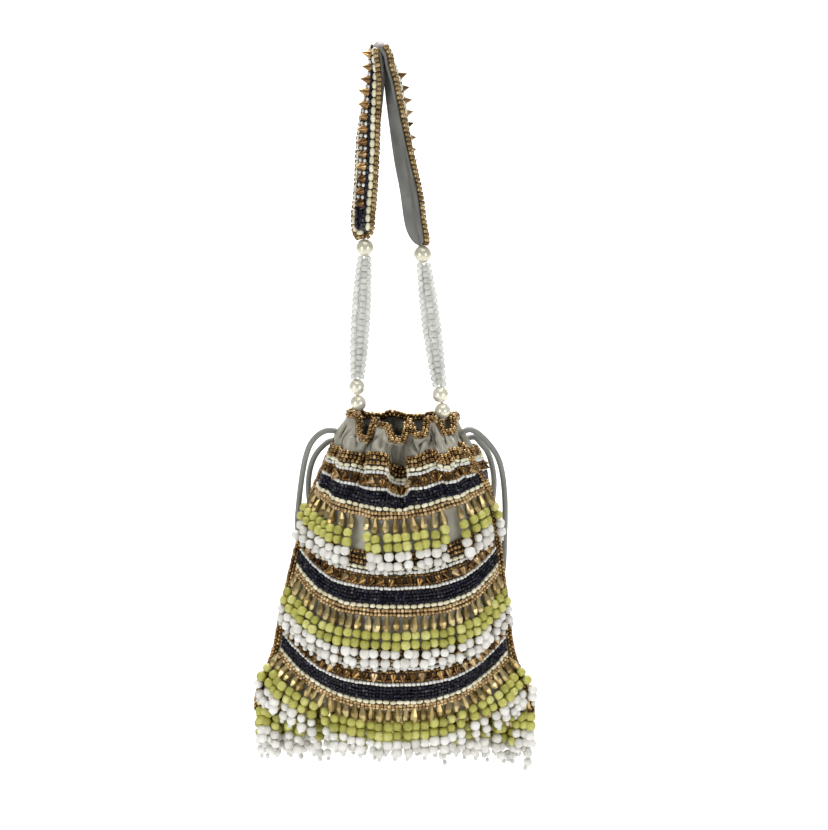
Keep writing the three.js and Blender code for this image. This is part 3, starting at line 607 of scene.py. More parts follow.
pouch_satin = satin_material("pouch_satin", (0.285, 0.268, 0.215), (0.415, 0.395, 0.325), rough=(0.27, 0.42), sheen=0.2)
# The inner face: its higher roughness is the satin's dull reverse; its much darker colour is painted shade for the
# inside of the bag.
pouch_inside_painted_shade = satin_material("pouch_inside_painted_shade", (0.085, 0.078, 0.062), (0.145, 0.135, 0.11), rough=(0.55, 0.75), sheen=0.1)
# Near-black brown sheet under the band beads: painted shade for the gaps between the beads.
band_shade_sheet = satin_material("band_shade_sheet", (0.045, 0.031, 0.019), (0.09, 0.064, 0.04), rough=(0.6, 0.8), sheen=0.05)
cord_satin = satin_material("cord_satin", (0.15, 0.153, 0.136), (0.235, 0.24, 0.216), weave=(2.2, 0.3), rough=(0.34, 0.5))
lining_satin = satin_material("lining_satin", (0.105, 0.105, 0.095), (0.165, 0.165, 0.15), rough=(0.36, 0.5), sheen=0.25)
cap_satin = satin_material("cap_satin", (0.21, 0.185, 0.175), (0.36, 0.33, 0.315))
bronze = bead_material(
    "bronze_beads",
    [(0.1, (0.075, 0.04, 0.014)), (0.5, (0.275, 0.168, 0.066)), (0.9, (0.56, 0.385, 0.175))],
    (0.16, 0.3), 0.88, grain=(900.0, 0.08, 0.00003),
)
gold_row = bead_material(
    "gold_row_beads",
    [(0.1, (0.26, 0.16, 0.068)), (0.5, (0.51, 0.355, 0.175)), (0.9, (0.74, 0.57, 0.34))],
    (0.22, 0.38), 0.8,
)
strap_gold = bead_material(
    "strap_gold_beads",
    [(0.1, (0.15, 0.092, 0.034)), (0.5, (0.30, 0.205, 0.088)), (0.9, (0.47, 0.345, 0.18))],
    (0.22, 0.38), 0.8,
)
gold_drop = bead_material(
    "gold_drops",
    [(0.1, (0.27, 0.19, 0.07)), (0.5, (0.46, 0.355, 0.155)), (0.9, (0.66, 0.545, 0.29))],
    (0.24, 0.4), 0.9,
)
copper = bead_material(
    "copper_cones",
    [(0.1, (0.05, 0.024, 0.007)), (0.5, (0.165, 0.088, 0.027)), (0.9, (0.42, 0.25, 0.085))],
    (0.12, 0.26), 0.8, grain=(900.0, 0.05, 0.00002),
)
cone_gold = bead_material(
    "cone_gold",
    [(0.1, (0.10, 0.05, 0.018)), (0.5, (0.23, 0.13, 0.052)), (0.9, (0.42, 0.26, 0.105))],
    (0.14, 0.28), 0.85, grain=(900.0, 0.05, 0.00002),
)
cream = bead_material(
    "cream_beads",
    [(0.1, (0.58, 0.535, 0.35)), (0.5, (0.74, 0.695, 0.49)), (0.9, (0.85, 0.82, 0.65))],
    (0.22, 0.38), Coat_Weight=0.4, Coat_Roughness=0.12,
)
white_seed = bead_material(
    "white_beads",
    [(0.1, (0.58, 0.57, 0.50)), (0.5, (0.72, 0.72, 0.68)), (0.9, (0.85, 0.85, 0.82))],
    (0.18, 0.35), Coat_Weight=0.4, Coat_Roughness=0.1,
)
navy = bead_material(
    "navy_beads",
    [(0.1, (0.002, 0.002, 0.005)), (0.5, (0.004, 0.004, 0.010)), (0.9, (0.010, 0.009, 0.024))],
    (0.16, 0.36), Specular_IOR_Level=0.28,
)
green = bead_material(
    "green_stone",
    [(0.15, (0.25, 0.245, 0.04)), (0.4, (0.39, 0.378, 0.07)), (0.62, (0.50, 0.485, 0.115)), (0.85, (0.66, 0.65, 0.27))],
    (0.4, 0.62), grain=(360.0, 0.5, 0.00022), mottle=0.52,
)
white_stone = bead_material(
    "white_stone",
    [(0.15, (0.57, 0.55, 0.495)), (0.5, (0.74, 0.725, 0.675)), (0.85, (0.85, 0.84, 0.80))],
    (0.36, 0.58), grain=(360.0, 0.45, 0.0002), mottle=0.52,
)
end_bead = bead_material(
    "end_beads",
    [(0.1, (0.56, 0.55, 0.50)), (0.9, (0.76, 0.76, 0.72))],
    (0.1, 0.25), Transmission_Weight=0.12,
)
clear = bead_material(
    "clear_glass",
    [(0.1, (0.71, 0.715, 0.67)), (0.9, (0.86, 0.865, 0.82))],
    (0.04, 0.12), Transmission_Weight=0.48, IOR=1.45, Coat_Weight=0.6, Coat_Roughness=0.04,
)
pearl = bead_material(
    "pearl_lustre",
    [(0.1, (0.60, 0.57, 0.44)), (0.5, (0.71, 0.68, 0.54)), (0.9, (0.86, 0.83, 0.69))],
    (0.13, 0.2), grain=(260.0, 0.06, 0.00004), mottle=0.4, Coat_Weight=1.0, Coat_Roughness=0.06, Metallic=0.3, Specular_IOR_Level=0.6,
)
brass = bead_material(
    "gold_discs",
    [(0.1, (0.40, 0.26, 0.09)), (0.9, (0.62, 0.45, 0.19))],
    (0.2, 0.35), 0.95,
)


# ---------- drawstrings ----------
def route(points, count):
    """Even points on a centripetal Catmull-Rom curve."""
    p = np.array(points, float)
    p = np.concatenate([[2 * p[0] - p[1]], p, [2 * p[-1] - p[-2]]])
    out = []
    for i in range(1, len(p) - 2):
        a, b, c, d = p[i - 1 : i + 3]
        t = np.concatenate([[0], np.cumsum([np.linalg.norm(y - x) ** 0.5 for x, y in ((a, b), (b, c), (c, d))])])
        for v in np.linspace(t[1], t[2], 24, endpoint=False):
            a1 = (t[1] - v) / (t[1] - t[0]) * a + (v - t[0]) / (t[1] - t[0]) * b
            a2 = (t[2] - v) / (t[2] - t[1]) * b + (v - t[1]) / (t[2] - t[1]) * c
            a3 = (t[3] - v) / (t[3] - t[2]) * c + (v - t[2]) / (t[3] - t[2]) * d
            b1 = (t[2] - v) / (t[2] - t[0]) * a1 + (v - t[0]) / (t[2] - t[0]) * a2
            b2 = (t[3] - v) / (t[3] - t[1]) * a2 + (v - t[1]) / (t[3] - t[1]) * a3
            out.append((t[2] - v) / (t[2] - t[1]) * b1 + (v - t[1]) / (t[2] - t[1]) * b2)
    out = np.array(out + [p[-2]])
    s = np.concatenate([[0.0], np.cumsum(np.linalg.norm(np.diff(out, axis=0), axis=1))])
    at = np.linspace(0, s[-1], count)
    return np.stack([np.interp(at, s, out[:, i]) for i in range(3)], 1), s[-1]


# Where the two ends of each loop run on inside the channel.
CHANNEL = {"left": ((-20.5, 3.0, -231.0), (-23.0, 16.5, -239.0)), "right": ((46.0, -8.0, -229.5), (49.0, -3.0, -233.0))}
cords = {}
for side, points in CORDS.items():
    line, length = route([CHANNEL[side][0], *points, CHANNEL[side][1]], 140)
    piece = build(f"drawstring_{side}_cord", [tube_lot(line, CORD_RADIUS, 18, 0)], [cord_satin])
    finish_piece(piece, "cord_satin", f"drawstring_{side}")
    cords[side] = piece

# ---------- pouch ----------
COLUMNS = 460
outside = np.concatenate([np.arange(0, 26, 1.0), np.linspace(26, HEM, 56)])
inside = np.concatenate([np.arange(0, 24, 2.0), np.linspace(24, MOUTH_DROP, 22)])


def pouch_lot():
    u = np.arange(COLUMNS) / COLUMNS
    outer = surface(u[None, :], outside[:, None])
    inner = surface(u[None, :], inside[:, None], WALL)
    rows = np.concatenate([inner[::-1], outer])
    ds = np.concatenate([inside[::-1], outside])
    n = COLUMNS
    j, i = np.meshgrid(np.arange(len(rows) - 1), np.arange(n), indexing="ij")
    k = (i + 1) % n
    quads = np.stack([j * n + i, (j + 1) * n + i, (j + 1) * n + k, j * n + k], -1).reshape(-1, 4)
    width = 3.32  # of the two flat panels, in the UV's centimetres times ten
    ui, uk = i / n * width, (i + 1) / n * width
    dj, dk = ds[j] / 100, ds[j + 1] / 100
    uv = np.stack([np.stack([ui, dj], -1), np.stack([ui, dk], -1), np.stack([uk, dk], -1), np.stack([uk, dj], -1)], 2).reshape(-1, 2)
    faces = [tuple(q) for q in quads.tolist()]
    extra = []

    def close(base, up):
        for c in range(n // 2):
            f0, f1, b0, b1 = base + c, base + c + 1, base + (n - c) % n, base + n - c - 1
            for t in ([(f0, b0, f1)] if f0 != b0 else []) + ([(f1, b0, b1)] if f1 != b1 else []):
                extra.append(t if up else t[::-1])

    close(0, False)
    close((len(rows) - 1) * n, True)
    uv = np.concatenate([uv, np.zeros((3 * len(extra), 2))])
    lot = grid_lot(rows.reshape(-1, 3), faces + extra, 0, uv=uv)
    # Inner faces take the darker satin: painted shade inside the bag.
    lot["slot"][: (len(inside) - 1) * n] = 1
    return lot


def face_out(lot):
    """Turns every face round if the closed lot is inside out."""
    starts = np.concatenate([[0], np.cumsum(lot["totals"])[:-1]])
    volume = 0.0
    v, loops = lot["v"], lot["loops"]
    for t in np.unique(lot["totals"]):
        f = starts[lot["totals"] == t]
        idx = loops[f[:, None] + np.arange(t)]
        for k in range(1, t - 1):
            volume += np.einsum("ij,ij->i", v[idx[:, 0]], np.cross(v[idx[:, k]], v[idx[:, k + 1]])).sum()
    if volume < 0:
        order = np.concatenate([np.arange(s + t - 1, s - 1, -1) for s, t in zip(starts, lot["totals"])])
        lot["loops"] = loops[order]
        if lot.get("uv") is not None:
            lot["uv"] = lot["uv"][order]
    return lot


pouch = build("pouch_cloth", [face_out(pouch_lot())], [pouch_satin, pouch_inside_painted_shade])
finish_piece(pouch, "satin_pouch", "bag_body")


# ---------- bead ropes on the mouth and the seams ----------
def rope(points, outward, rows, radius, bead, spacing):
    """Rows of seed beads round a line. rows: angles from outward, towards the line's other side."""
    lots = []
    for i, angle in enumerate(rows):
        at, go, out, step = march(points, outward, spacing, shift=0.5 if i % 2 else 0.02)
        side = np.cross(go, out)
        a = math.radians(angle)
        way = math.cos(a) * out + math.sin(a) * side
        n = len(at)
        spot = at + way * radius + rng.normal(0, 0.07, (n, 3))
        size = bead * (1 + rng.normal(0, 0.05, (n, 1))) * np.array([step / bead * 0.98, 1, 1])
        lots.append(stamp(SEED, spot, frames(go + rng.normal(0, 0.12, (n, 3)), way), size, 0))
    return lots


def mouth_line(count=1400):
    u = np.arange(count + 1) / count
    edge = cloth(u, 0.0, WALL / 2)
    up = edge - cloth(u, 1.5, WALL / 2)
    along = unit(cloth(u + 4e-3, 0.0, WALL / 2) - cloth(u - 4e-3, 0.0, WALL / 2))
    up = unit(up - along * (up * along).sum(-1, keepdims=True))
    return edge + up * 1.4, up


line, up = mouth_line()
mouth = build("mouth_bead_rope", rope(line, up, (-140, -50, 50, 140), 1.3, 2.65, 2.5), [bronze])
finish_piece(mouth, "bronze_beads", "mouth_edging")
for side, u in (("left", 0.0), ("right", 0.5)):
    d = np.linspace(20, HEM - 1, 500)
    n = normal(np.full(d.shape, u), d)
    seam = build(f"seam_bead_rope_{side}", rope(cloth(np.full(d.shape, u), d) + n * 1.3, n, (-120, -45, 45, 120), 1.5, 2.65, 2.5), [bronze])
    finish_piece(seam, "bronze_beads", f"side_edging_{side}")

# ---------- bead bands ----------
# Rows of a band. up: middle of the row above the band's lower edge. wide: across the row.
# long: along the row. slot: which bead.
# The last slot is the dark sheet of painted shade under the beads.
BAND_BEADS = [bronze, cream, white_seed, navy, copper, gold_row, band_shade_sheet]
BAND_ROWS = [
    # kind, up, wide, long, slot
    ("seed", 1.0, 2.6, 2.3, 5),
    ("seed", 3.2, 2.6, 2.3, 5),
    ("rice", 5.5, 2.7, 4.1, 1),
    ("cut", 7.6, 2.3, 2.1, 3),
    ("cut", 9.4, 2.3, 2.1, 3),
    ("cut", 11.2, 2.3, 2.1, 3),
    ("cut", 13.0, 2.3, 2.1, 3),
    ("seed", 15.0, 2.3, 2.5, 2),
    ("seed", 16.9, 1.9, 1.9, 4),
    ("seed", 21.2, 1.9, 1.9, 4),
    ("cone", 19.0, 5.2, 5.7, 4),
    ("seed", 23.1, 2.3, 2.4, 2),
    ("rice", 25.4, 2.5, 4.2, 1),
    ("seed", 27.9, 2.7, 2.55, 0),
    ("seed", 30.4, 2.7, 2.55, 0),
    ("seed", 32.9, 2.6, 2.55, 0),
]


BRIGHT_CONES = 0.15  # share of the cones that are plain gold


def panel_line(side, d, ends, lift, wave=0.22):
    t = np.linspace(ends, 1 - ends, 800)
    u = place(side, t)
    at = d + wave * np.sin(37 * t + d) * np.sin(11 * t + 2 * d)
    n = normal(u, at)
    return surface(u, at) + n * lift, n


def band_lots(side, tier):
    lots = []
    for kind, up, wide, long, slot in BAND_ROWS:
        lift = 0.2 + (0.1 if kind == "cone" else 0.47 * wide)
        line, n = panel_line(side, tier - up, 0.02, lift)
        at, go, out, step = march(line, n, long)
        count = len(at)
        loose = rng.normal(0, 0.1, (count, 3))
        if kind == "cone":
            hang = rng.uniform(0.35, 1.15, (count, 1)) * np.array([0.0, 0.0, -1.0])
            axes = frames(out + hang + go * rng.normal(0, 0.25, (count, 1)), go, rng.uniform(0, 6.28, count))
            size = np.array([5.2, wide, wide]) * (1 + rng.normal(0, 0.05, (count, 1)))
            bright = rng.random(count) < BRIGHT_CONES
            for some, kept in ((~bright, slot), (bright, 5)):
                if some.any():
                    lots.append(stamp(CONE, (at + loose)[some], axes[some], size[some], kept))
            continue
        template = {"seed": SEED, "cut": CUT, "rice": RICE}[kind]
        axes = frames(go + rng.normal(0, 0.1, (count, 3)), out, rng.uniform(0, 6.28, count))
        size = np.array([step * 0.99, wide, wide]) * (1 + rng.normal(0, 0.05, (count, 3)))
        lots.append(stamp(template, at + loose, axes, size, slot))
    for l in lots:
        l["uv"] = np.zeros((len(l["loops"]), 2))
    # Each band also gets the dark sheet of painted shade under its beads.
    return lots + [shade_sheet_lot(side, tier)]


# The dark sheet of painted shade under each band's beads.
SHADE_SHEET_TALL, SHADE_SHEET_LOW, SHADE_SHEET_LIFT, SHADE_SHEET_THICK = 33.2, 0.5, 0.5, 0.4
SHADE_SHEET_COLUMNS, SHADE_SHEET_ROWS = 110, 10


def shade_sheet_lot(side, tier):
    """A dark sheet under a band's beads, painted shade for the gaps between them, a thin closed plate with UV."""
    t = np.linspace(0.022, 0.978, SHADE_SHEET_COLUMNS)
    d = np.linspace(tier - SHADE_SHEET_TALL, tier - SHADE_SHEET_LOW, SHADE_SHEET_ROWS)
    tt, dd = np.meshgrid(t, d)
    u = place(side, tt)
    face, out = surface(u, dd), normal(u, dd)
    points = np.concatenate([(face + out * h).reshape(-1, 3) for h in (SHADE_SHEET_LIFT, SHADE_SHEET_LIFT - SHADE_SHEET_THICK)])
    n, m = SHADE_SHEET_COLUMNS, SHADE_SHEET_ROWS
    o = lambda j, i: j * n + i
    k = lambda j, i: m * n + j * n + i
    faces = []
    for j in range(m - 1):
        for i in range(n - 1):
            faces += [(o(j, i), o(j + 1, i), o(j + 1, i + 1), o(j, i + 1)), (k(j, i), k(j, i + 1), k(j + 1, i + 1), k(j + 1, i))]
    for i in range(n - 1):
        faces += [(o(0, i), o(0, i + 1), k(0, i + 1), k(0, i)), (o(m - 1, i), k(m - 1, i), k(m - 1, i + 1), o(m - 1, i + 1))]
    for j in range(m - 1):
        faces += [(o(j, 0), k(j, 0), k(j + 1, 0), o(j + 1, 0)), (o(j, n - 1), o(j + 1, n - 1), k(j + 1, n - 1), k(j, n - 1))]
    flat = np.tile(np.stack([tt * 1.66, dd / 100], -1).reshape(-1, 2), (2, 1))
    return face_out(grid_lot(points, faces, 6, uv=np.concatenate([flat[list(q)] for q in faces])))


for side in ("front", "back"):
    for i, tier in enumerate(TIERS):
        o = build(f"band_{i + 1}_{side}_beads", band_lots(side, tier), BAND_BEADS)
        finish_piece(o, "band_beads", f"bead_band_{i + 1}_{side}")


# ---------- fringes ----------
def strands(u, d, over):
    """Routes of strands sewn on at u, d: (strand, step, xyz), each step 0.5 mm, and the way they face."""
    u = np.asarray(u, float)
    out = normal(u, np.full(u.shape, d))
    flat = unit(out * np.array([1, 1, 0]))
    back = ((cloth(u, np.full(u.shape, min(HEM, d + 15))) - cloth(u, np.full(u.shape, d))) * flat).sum(-1)
    held = np.clip(1 + back / 10, 0, 1)
    step = 0.5
    l = np.arange(0, STRAND_REACH + step, step)
    at = np.minimum(HEM, d + l)[None, :] + 0 * u[:, None]
    uu = u[:, None] + 0 * at
    lift = STRAND_LIFT + over * held[:, None] * smooth(2, 15, l)[None, :]
    rest = cloth(uu, at) + normal(uu, at) * lift[..., None]
    down = np.array([0.0, 0.0, -1.0])
    path = [rest[:, 0]]
    for k in range(len(l) - 1):
        way = np.broadcast_to(down, (len(u), 3)) if d + l[k] + step > HEM else unit(rest[:, k + 1] - rest[:, k])
        inwards = np.minimum(0, (way * flat).sum(-1))
        way = way - flat * inwards[:, None]
        share = smooth(0, 0.35, -inwards)[:, None]
        path.append(path[-1] + step * unit(way * (1 - share) + down * share))
    return np.stack(path, 1), flat


# How far the middle of the hem fringe is caught up: place across, rise.
HEM_RISE = columns(
    "t rise",
    [(0, 4.5), (0.1, 4.5), (0.25, 4.5), (0.33, 7), (0.4, 7.5), (0.47, 5.5), (0.52, 4), (0.62, 6), (0.7, 5), (0.8, 3.5), (0.9, 2), (1, 1.5)],
)


def hem_strands(t, y, lower=0.0):
    u = place("front", t)
    rise = np.interp(t, HEM_RISE["t"], HEM_RISE["rise"]) + rng.normal(0, 1.0, len(t))
    p = cloth(u, np.full(u.shape, HEM)) * np.array([1, 0, 1]) + np.stack([0 * t, np.full(t.shape, y), rise - 0.6 - lower], -1)
    l = np.arange(0, STRAND_REACH + 0.5, 0.5)
    return p[:, None, :] - l[None, :, None] * np.array([0, 0, 1.0]), np.tile([[0.0, -1.0, 0.0]], (len(u), 1))


# One strand. at: middle of the bead down the strand. long, wide: its size. slot: which bead.
STRAND_BEADS = [
    # kind, at, long, wide, slot
    ("stone", 10.3, 5.5, 5.8, 1),
    ("stone", 15.9, 5.5, 5.8, 1),
    ("stone", 21.5, 5.5, 5.8, 2),
    ("stone", 27.0, 5.5, 5.8, 2),
    ("end", 30.6, 3.5, 2.9, 3),
]
LAST_STONE = ("stone", 27.0)
FRINGE_BEADS = [gold_drop, green, white_stone, end_bead]


def fringe_lots(paths, flat, lean=0.0, uneven=0.55, loose=0.025, short=None):
    """short: strands that end a bead earlier."""
    count = len(paths)
    short = np.zeros(count, bool) if short is None else short
    steps = np.arange(paths.shape[1]) * 0.5
    side = np.cross(flat, np.array([0.0, 0.0, 1.0]))
    sway = rng.normal(0, loose, count) + lean
    wave = rng.normal(0, 0.35, count)
    proud = np.where(np.arange(count) % 2, 0.5, -0.35) + rng.normal(0, 0.25, count)
    slack = np.minimum(np.abs(rng.normal(0, uneven, count)), STRAND_REACH - 34)
    shift = sway[:, None] * steps + wave[:, None] * np.sin(steps / 9.0)
    lines = paths + side[:, None, :] * shift[..., None] + flat[:, None, :] * (proud[:, None] * smooth(3, 12, steps))[..., None]
    go = unit(np.gradient(lines, axis=1))

    def at(l):
        k = np.clip(l / 0.5, 0, paths.shape[1] - 1.001)
        i = k.astype(int)
        f = (k - i)[:, None]
        n = np.arange(count)
        return lines[n, i] * (1 - f) + lines[n, i + 1] * f, unit(go[n, i] * (1 - f) + go[n, i + 1] * f)

    lots = []
    for kind, where, long, wide, slot in STRAND_BEADS:
        loosely, slip = (0.15, 0.1) if slot == 1 else (0.6, 0.35)
        p, way = at(where - (5.5 * short if kind == "end" else 0) + slack + rng.normal(0, slip, count))
        way = way + rng.normal(0, 0.1 if slot == 1 else 0.16, (count, 3))
        p = p + side * rng.normal(0, loosely, (count, 1)) + flat * rng.normal(0, loosely, (count, 1))
        size = np.array([long, wide, wide]) * (1 + rng.normal(0, 0.045 if slot == 1 else 0.065, (count, 1)))
        axes = frames(way, flat, rng.uniform(0, 6.28, count))
        kept = ~short if (kind, where) == LAST_STONE else np.ones(count, bool)
        lots.append(stamp(STONE if kind == "stone" else RICE, p[kept], axes[kept], size[kept], slot))
    return lots


def caught_up(t, middle, sides=0.0):
    """Strands that end a bead earlier: their share in the middle of a row and at its sides."""
    return rng.random(len(t)) < np.where((t > 0.28) & (t < 0.72), middle, sides)


DROP_LONG, DROP_WIDE, DROP_STEP = 9.2, 4.8, {2: 5.0, 3: 4.8}


def drop_lots(paths, flat):
    """The gold drops that head the strands."""
    count = len(paths)
    way = unit(paths[:, 16] - paths[:, 1]) + rng.normal(0, 0.07, (count, 3))
    size = np.array([DROP_LONG, DROP_WIDE, DROP_WIDE]) * (1 + rng.normal(0, 0.06, (count, 1)))
    at = paths[:, 0] - unit(way) * 1.2 + flat * np.where(np.arange(count) % 2, 0.45, -0.1)[:, None]
    return [stamp(DROP, at, frames(way, flat, rng.uniform(0, 6.28, count)), size, 0)]


# d: where the fringe is sewn on. over: how far its beads lie out. step: between strands. free: bare ends.
FRINGES = [
    # d, over, step, free front, free back
    (TIERS[0] + 0.6, 4.8, 5.5, 0.03, 0.13),
    (TIERS[1] + 0.6, 4.6, 5.5, 0.03, 0.12),
    (TIERS[2] - 1.0, 8.4, 5.4, 0.015, 0.03),
    (LAST_TIER + 0.6, 2.8, 5.3, 0.015, 0.015),
]
# Places across the first front fringe where it parts, and how wide it parts.
PARTINGS = ((0.355, 0.023), (0.74, 0.023))


def even_places(side, d, free, step):
    """Places across a panel at even steps along its row."""
    t = np.linspace(free, 1 - free, 400)
    p = cloth(place(side, t), np.full(t.shape, d))
    l = np.concatenate([[0.0], np.cumsum(np.linalg.norm(np.diff(p, axis=0), axis=1))])
    return np.interp(np.linspace(0, l[-1], int(round(l[-1] / step)) + 1), l, t)


for k, (d, over, step, free_front, free_back) in enumerate(FRINGES):
    for side, free in (("front", free_front), ("back", free_back)):
        t = even_places(side, d, free, step)
        lean = np.zeros(len(t))
        if k == 0 and side == "front":
            for middle, width in PARTINGS:
                t = t[np.abs(t - middle) > width]
            lean = sum(-np.sign(t - m) * 0.11 * np.exp(-(((np.abs(t - m) - w) / 0.06) ** 2)) for m, w in PARTINGS)
        if k < 3 and side == "front":  # the last strands hang clear of the seams
            lean = lean + 0.08 * (1 - smooth(0, 0.08, t)) - 0.15 * smooth(0.93, 1, t)
        paths, flat = strands(place(side, t), d, over)
        lots = fringe_lots(paths, flat, lean, *((0.55, 0.025) if k < 3 else (1.2, 0.05)), short=caught_up(t, (0, 0, 0.25, 0.8)[k]))
        heads, faces_out = paths, flat
        if k in DROP_STEP:  # the low fringes have more drops than strands
            heads, faces_out = strands(place(side, even_places(side, d, free, DROP_STEP[k])), d, over)
        o = build(f"fringe_{k + 1}_{side}_beads", lots + drop_lots(heads, faces_out), FRINGE_BEADS)
        finish_piece(o, "fringe_beads", f"fringe_{k + 1}_{side}")
lots = []
t = even_places("front", HEM, 0.012, 5.3)
for y, row, sides in ((-1.9, t, 0.2), (2.6, (t[1:] + t[:-1]) / 2, 0.5)):
    paths, flat = hem_strands(row, y)
    lots += fringe_lots(paths, flat, 0.0, 1.4, 0.05, short=caught_up(row, 0.8, sides)) + drop_lots(paths, flat)
for share in (0.25, 0.75):  # more drops than strands here too
    lots += drop_lots(*hem_strands(t[:-1] + share * np.diff(t), 0.35, 4.8))
o = build("hem_fringe_beads", lots, FRINGE_BEADS)
finish_piece(o, "fringe_beads", "hem_fringe")


# ---------- handle ----------
def strap_frame(s):
    s = np.asarray(s, float)
    spot = lambda q: np.stack([read(STRAP, "s", "x", q), np.zeros(np.shape(q)), read(STRAP, "s", "z", q)], -1)
    along = unit(spot(np.minimum(STRAP_LENGTH, s + 0.3)) - spot(np.maximum(0, s - 0.3)))
    yaw = np.radians(read(STRAP, "s", "yaw", s))
    across = np.stack([np.sin(yaw), -np.cos(yaw), 0 * yaw], -1)
    across = unit(across - along * (across * along).sum(-1, keepdims=True))
    end = np.minimum(s, STRAP_LENGTH - s)
    round_off = np.where(s < STRAP_LENGTH / 2, STRAP_ROUND, STRAP_TAPER)
    share = np.sqrt(np.maximum(0.02, 1 - (1 - np.minimum(end, round_off) / round_off) ** 2))
    return {
        "centre": spot(s), "along": along, "across": across, "out": np.cross(across, along),
        "half": read(STRAP, "s", "half", s) * share, "arch": read(STRAP, "s", "arch", s) * share,
    }


def on_strap(f, w, h):
    w, h = np.asarray(w, float), np.asarray(h, float)
    return f["centre"] + f["across"] * (f["half"] * w)[..., None] + f["out"] * (h - f["arch"] * np.abs(w) ** 1.4)[..., None]


def strap_normal(f, w):
    """Outward from the strap's face at w."""
    slope = f["arch"] * 1.4 * np.abs(w) ** 0.4 * np.sign(w)
    return unit(f["out"] * f["half"][..., None] + f["across"] * slope[..., None])


def strap_plate(stops, ws, low, high, slot):
    """A plate on the strap between two heights, with UV along and across it."""
    f = strap_frame(np.repeat(stops, len(ws)))
    w = np.tile(ws, len(stops))
    s = np.repeat(stops, len(ws))
    lower = on_strap(f, w, low(s, w)) if callable(low) else on_strap(f, w, np.full(w.shape, low))
    upper = on_strap(f, w, high(s, w)) if callable(high) else on_strap(f, w, np.full(w.shape, high))
    n, m = len(ws), len(stops)
    points = np.concatenate([upper, lower])
    o = lambda j, i: j * n + i
    k = lambda j, i: m * n + j * n + i
    faces, keys = [], []
    for j in range(m - 1):
        for i in range(n - 1):
            faces += [(o(j, i), o(j, i + 1), o(j + 1, i + 1), o(j + 1, i)), (k(j, i), k(j + 1, i), k(j + 1, i + 1), k(j, i + 1))]
    for i in range(n - 1):
        faces += [(o(0, i), k(0, i), k(0, i + 1), o(0, i + 1)), (o(m - 1, i), o(m - 1, i + 1), k(m - 1, i + 1), k(m - 1, i))]
    for j in range(m - 1):
        faces += [(o(j, 0), o(j + 1, 0), k(j + 1, 0), k(j, 0)), (o(j, n - 1), k(j, n - 1), k(j + 1, n - 1), o(j + 1, n - 1))]
    flat_uv = np.stack([np.tile(w * 7.8, 2), np.tile(s, 2)], 1) / 100
    uv = np.concatenate([flat_uv[list(q)] for q in faces])
    return face_out(grid_lot(points, faces, slot, uv=uv))


# Creases across the strap's lining: place from the fold, slant across the strap.
LINING_CREASES = ((38, 3.0), (52, -2.0), (63, 4.0), (71, 2.5), (80, 5.0), (88, -3.0), (97, 4.0), (-60, 3.0), (-85, -3.0))


def lining(s, w):
    """Inner face of the strap: creased satin."""
    crease = 0.12 * np.sin(s * 0.37 + w * 1.6) * np.sin(s * 0.11 + 1.0) * (1 - w**2)
    for at, slant in LINING_CREASES:
        crease = crease + 0.3 * np.exp(-(((s - FOLD - at - slant * w) / 0.8) ** 2)) * (1 - w**4)
    return -STRAP_THICK / 2 - crease * smooth(12, 20, np.abs(s - FOLD))


stops = np.unique(np.concatenate([np.linspace(0, STRAP_LENGTH, 250), np.linspace(FOLD - 9, FOLD + 9, 60), np.linspace(0, 6, 16), STRAP_LENGTH - np.linspace(0, 6, 16)]))
strap = build("strap_cloth", [strap_plate(stops, np.linspace(-1, 1, 17), lining, STRAP_THICK / 2, 0)], [lining_satin])
finish_piece(strap, "strap_satin", "handle_strap")

STRAP_BEADS = [strap_gold, cream, navy, cone_gold, white_seed, cap_satin]
CONE_FOLD, CONE_END, BEAD_FOLD = {"left": 3.0, "right": 17.3}, 17.0, 1.9  # bare lengths: cones from the fold and the ends, beads from the fold


def strap_row(limb, w, lift, spacing, start, stop):
    """Places along a row of one limb, start from its lower end and stop from the fold."""
    low, high = (start, FOLD - stop) if limb == "left" else (FOLD + stop, STRAP_LENGTH - start)
    s = np.linspace(low, high, 500)
    f = strap_frame(s)
    ww = np.full(s.shape, w)
    n = strap_normal(f, ww)
    return march(on_strap(f, ww, np.full(s.shape, STRAP_THICK / 2)) + n * lift, n, spacing)


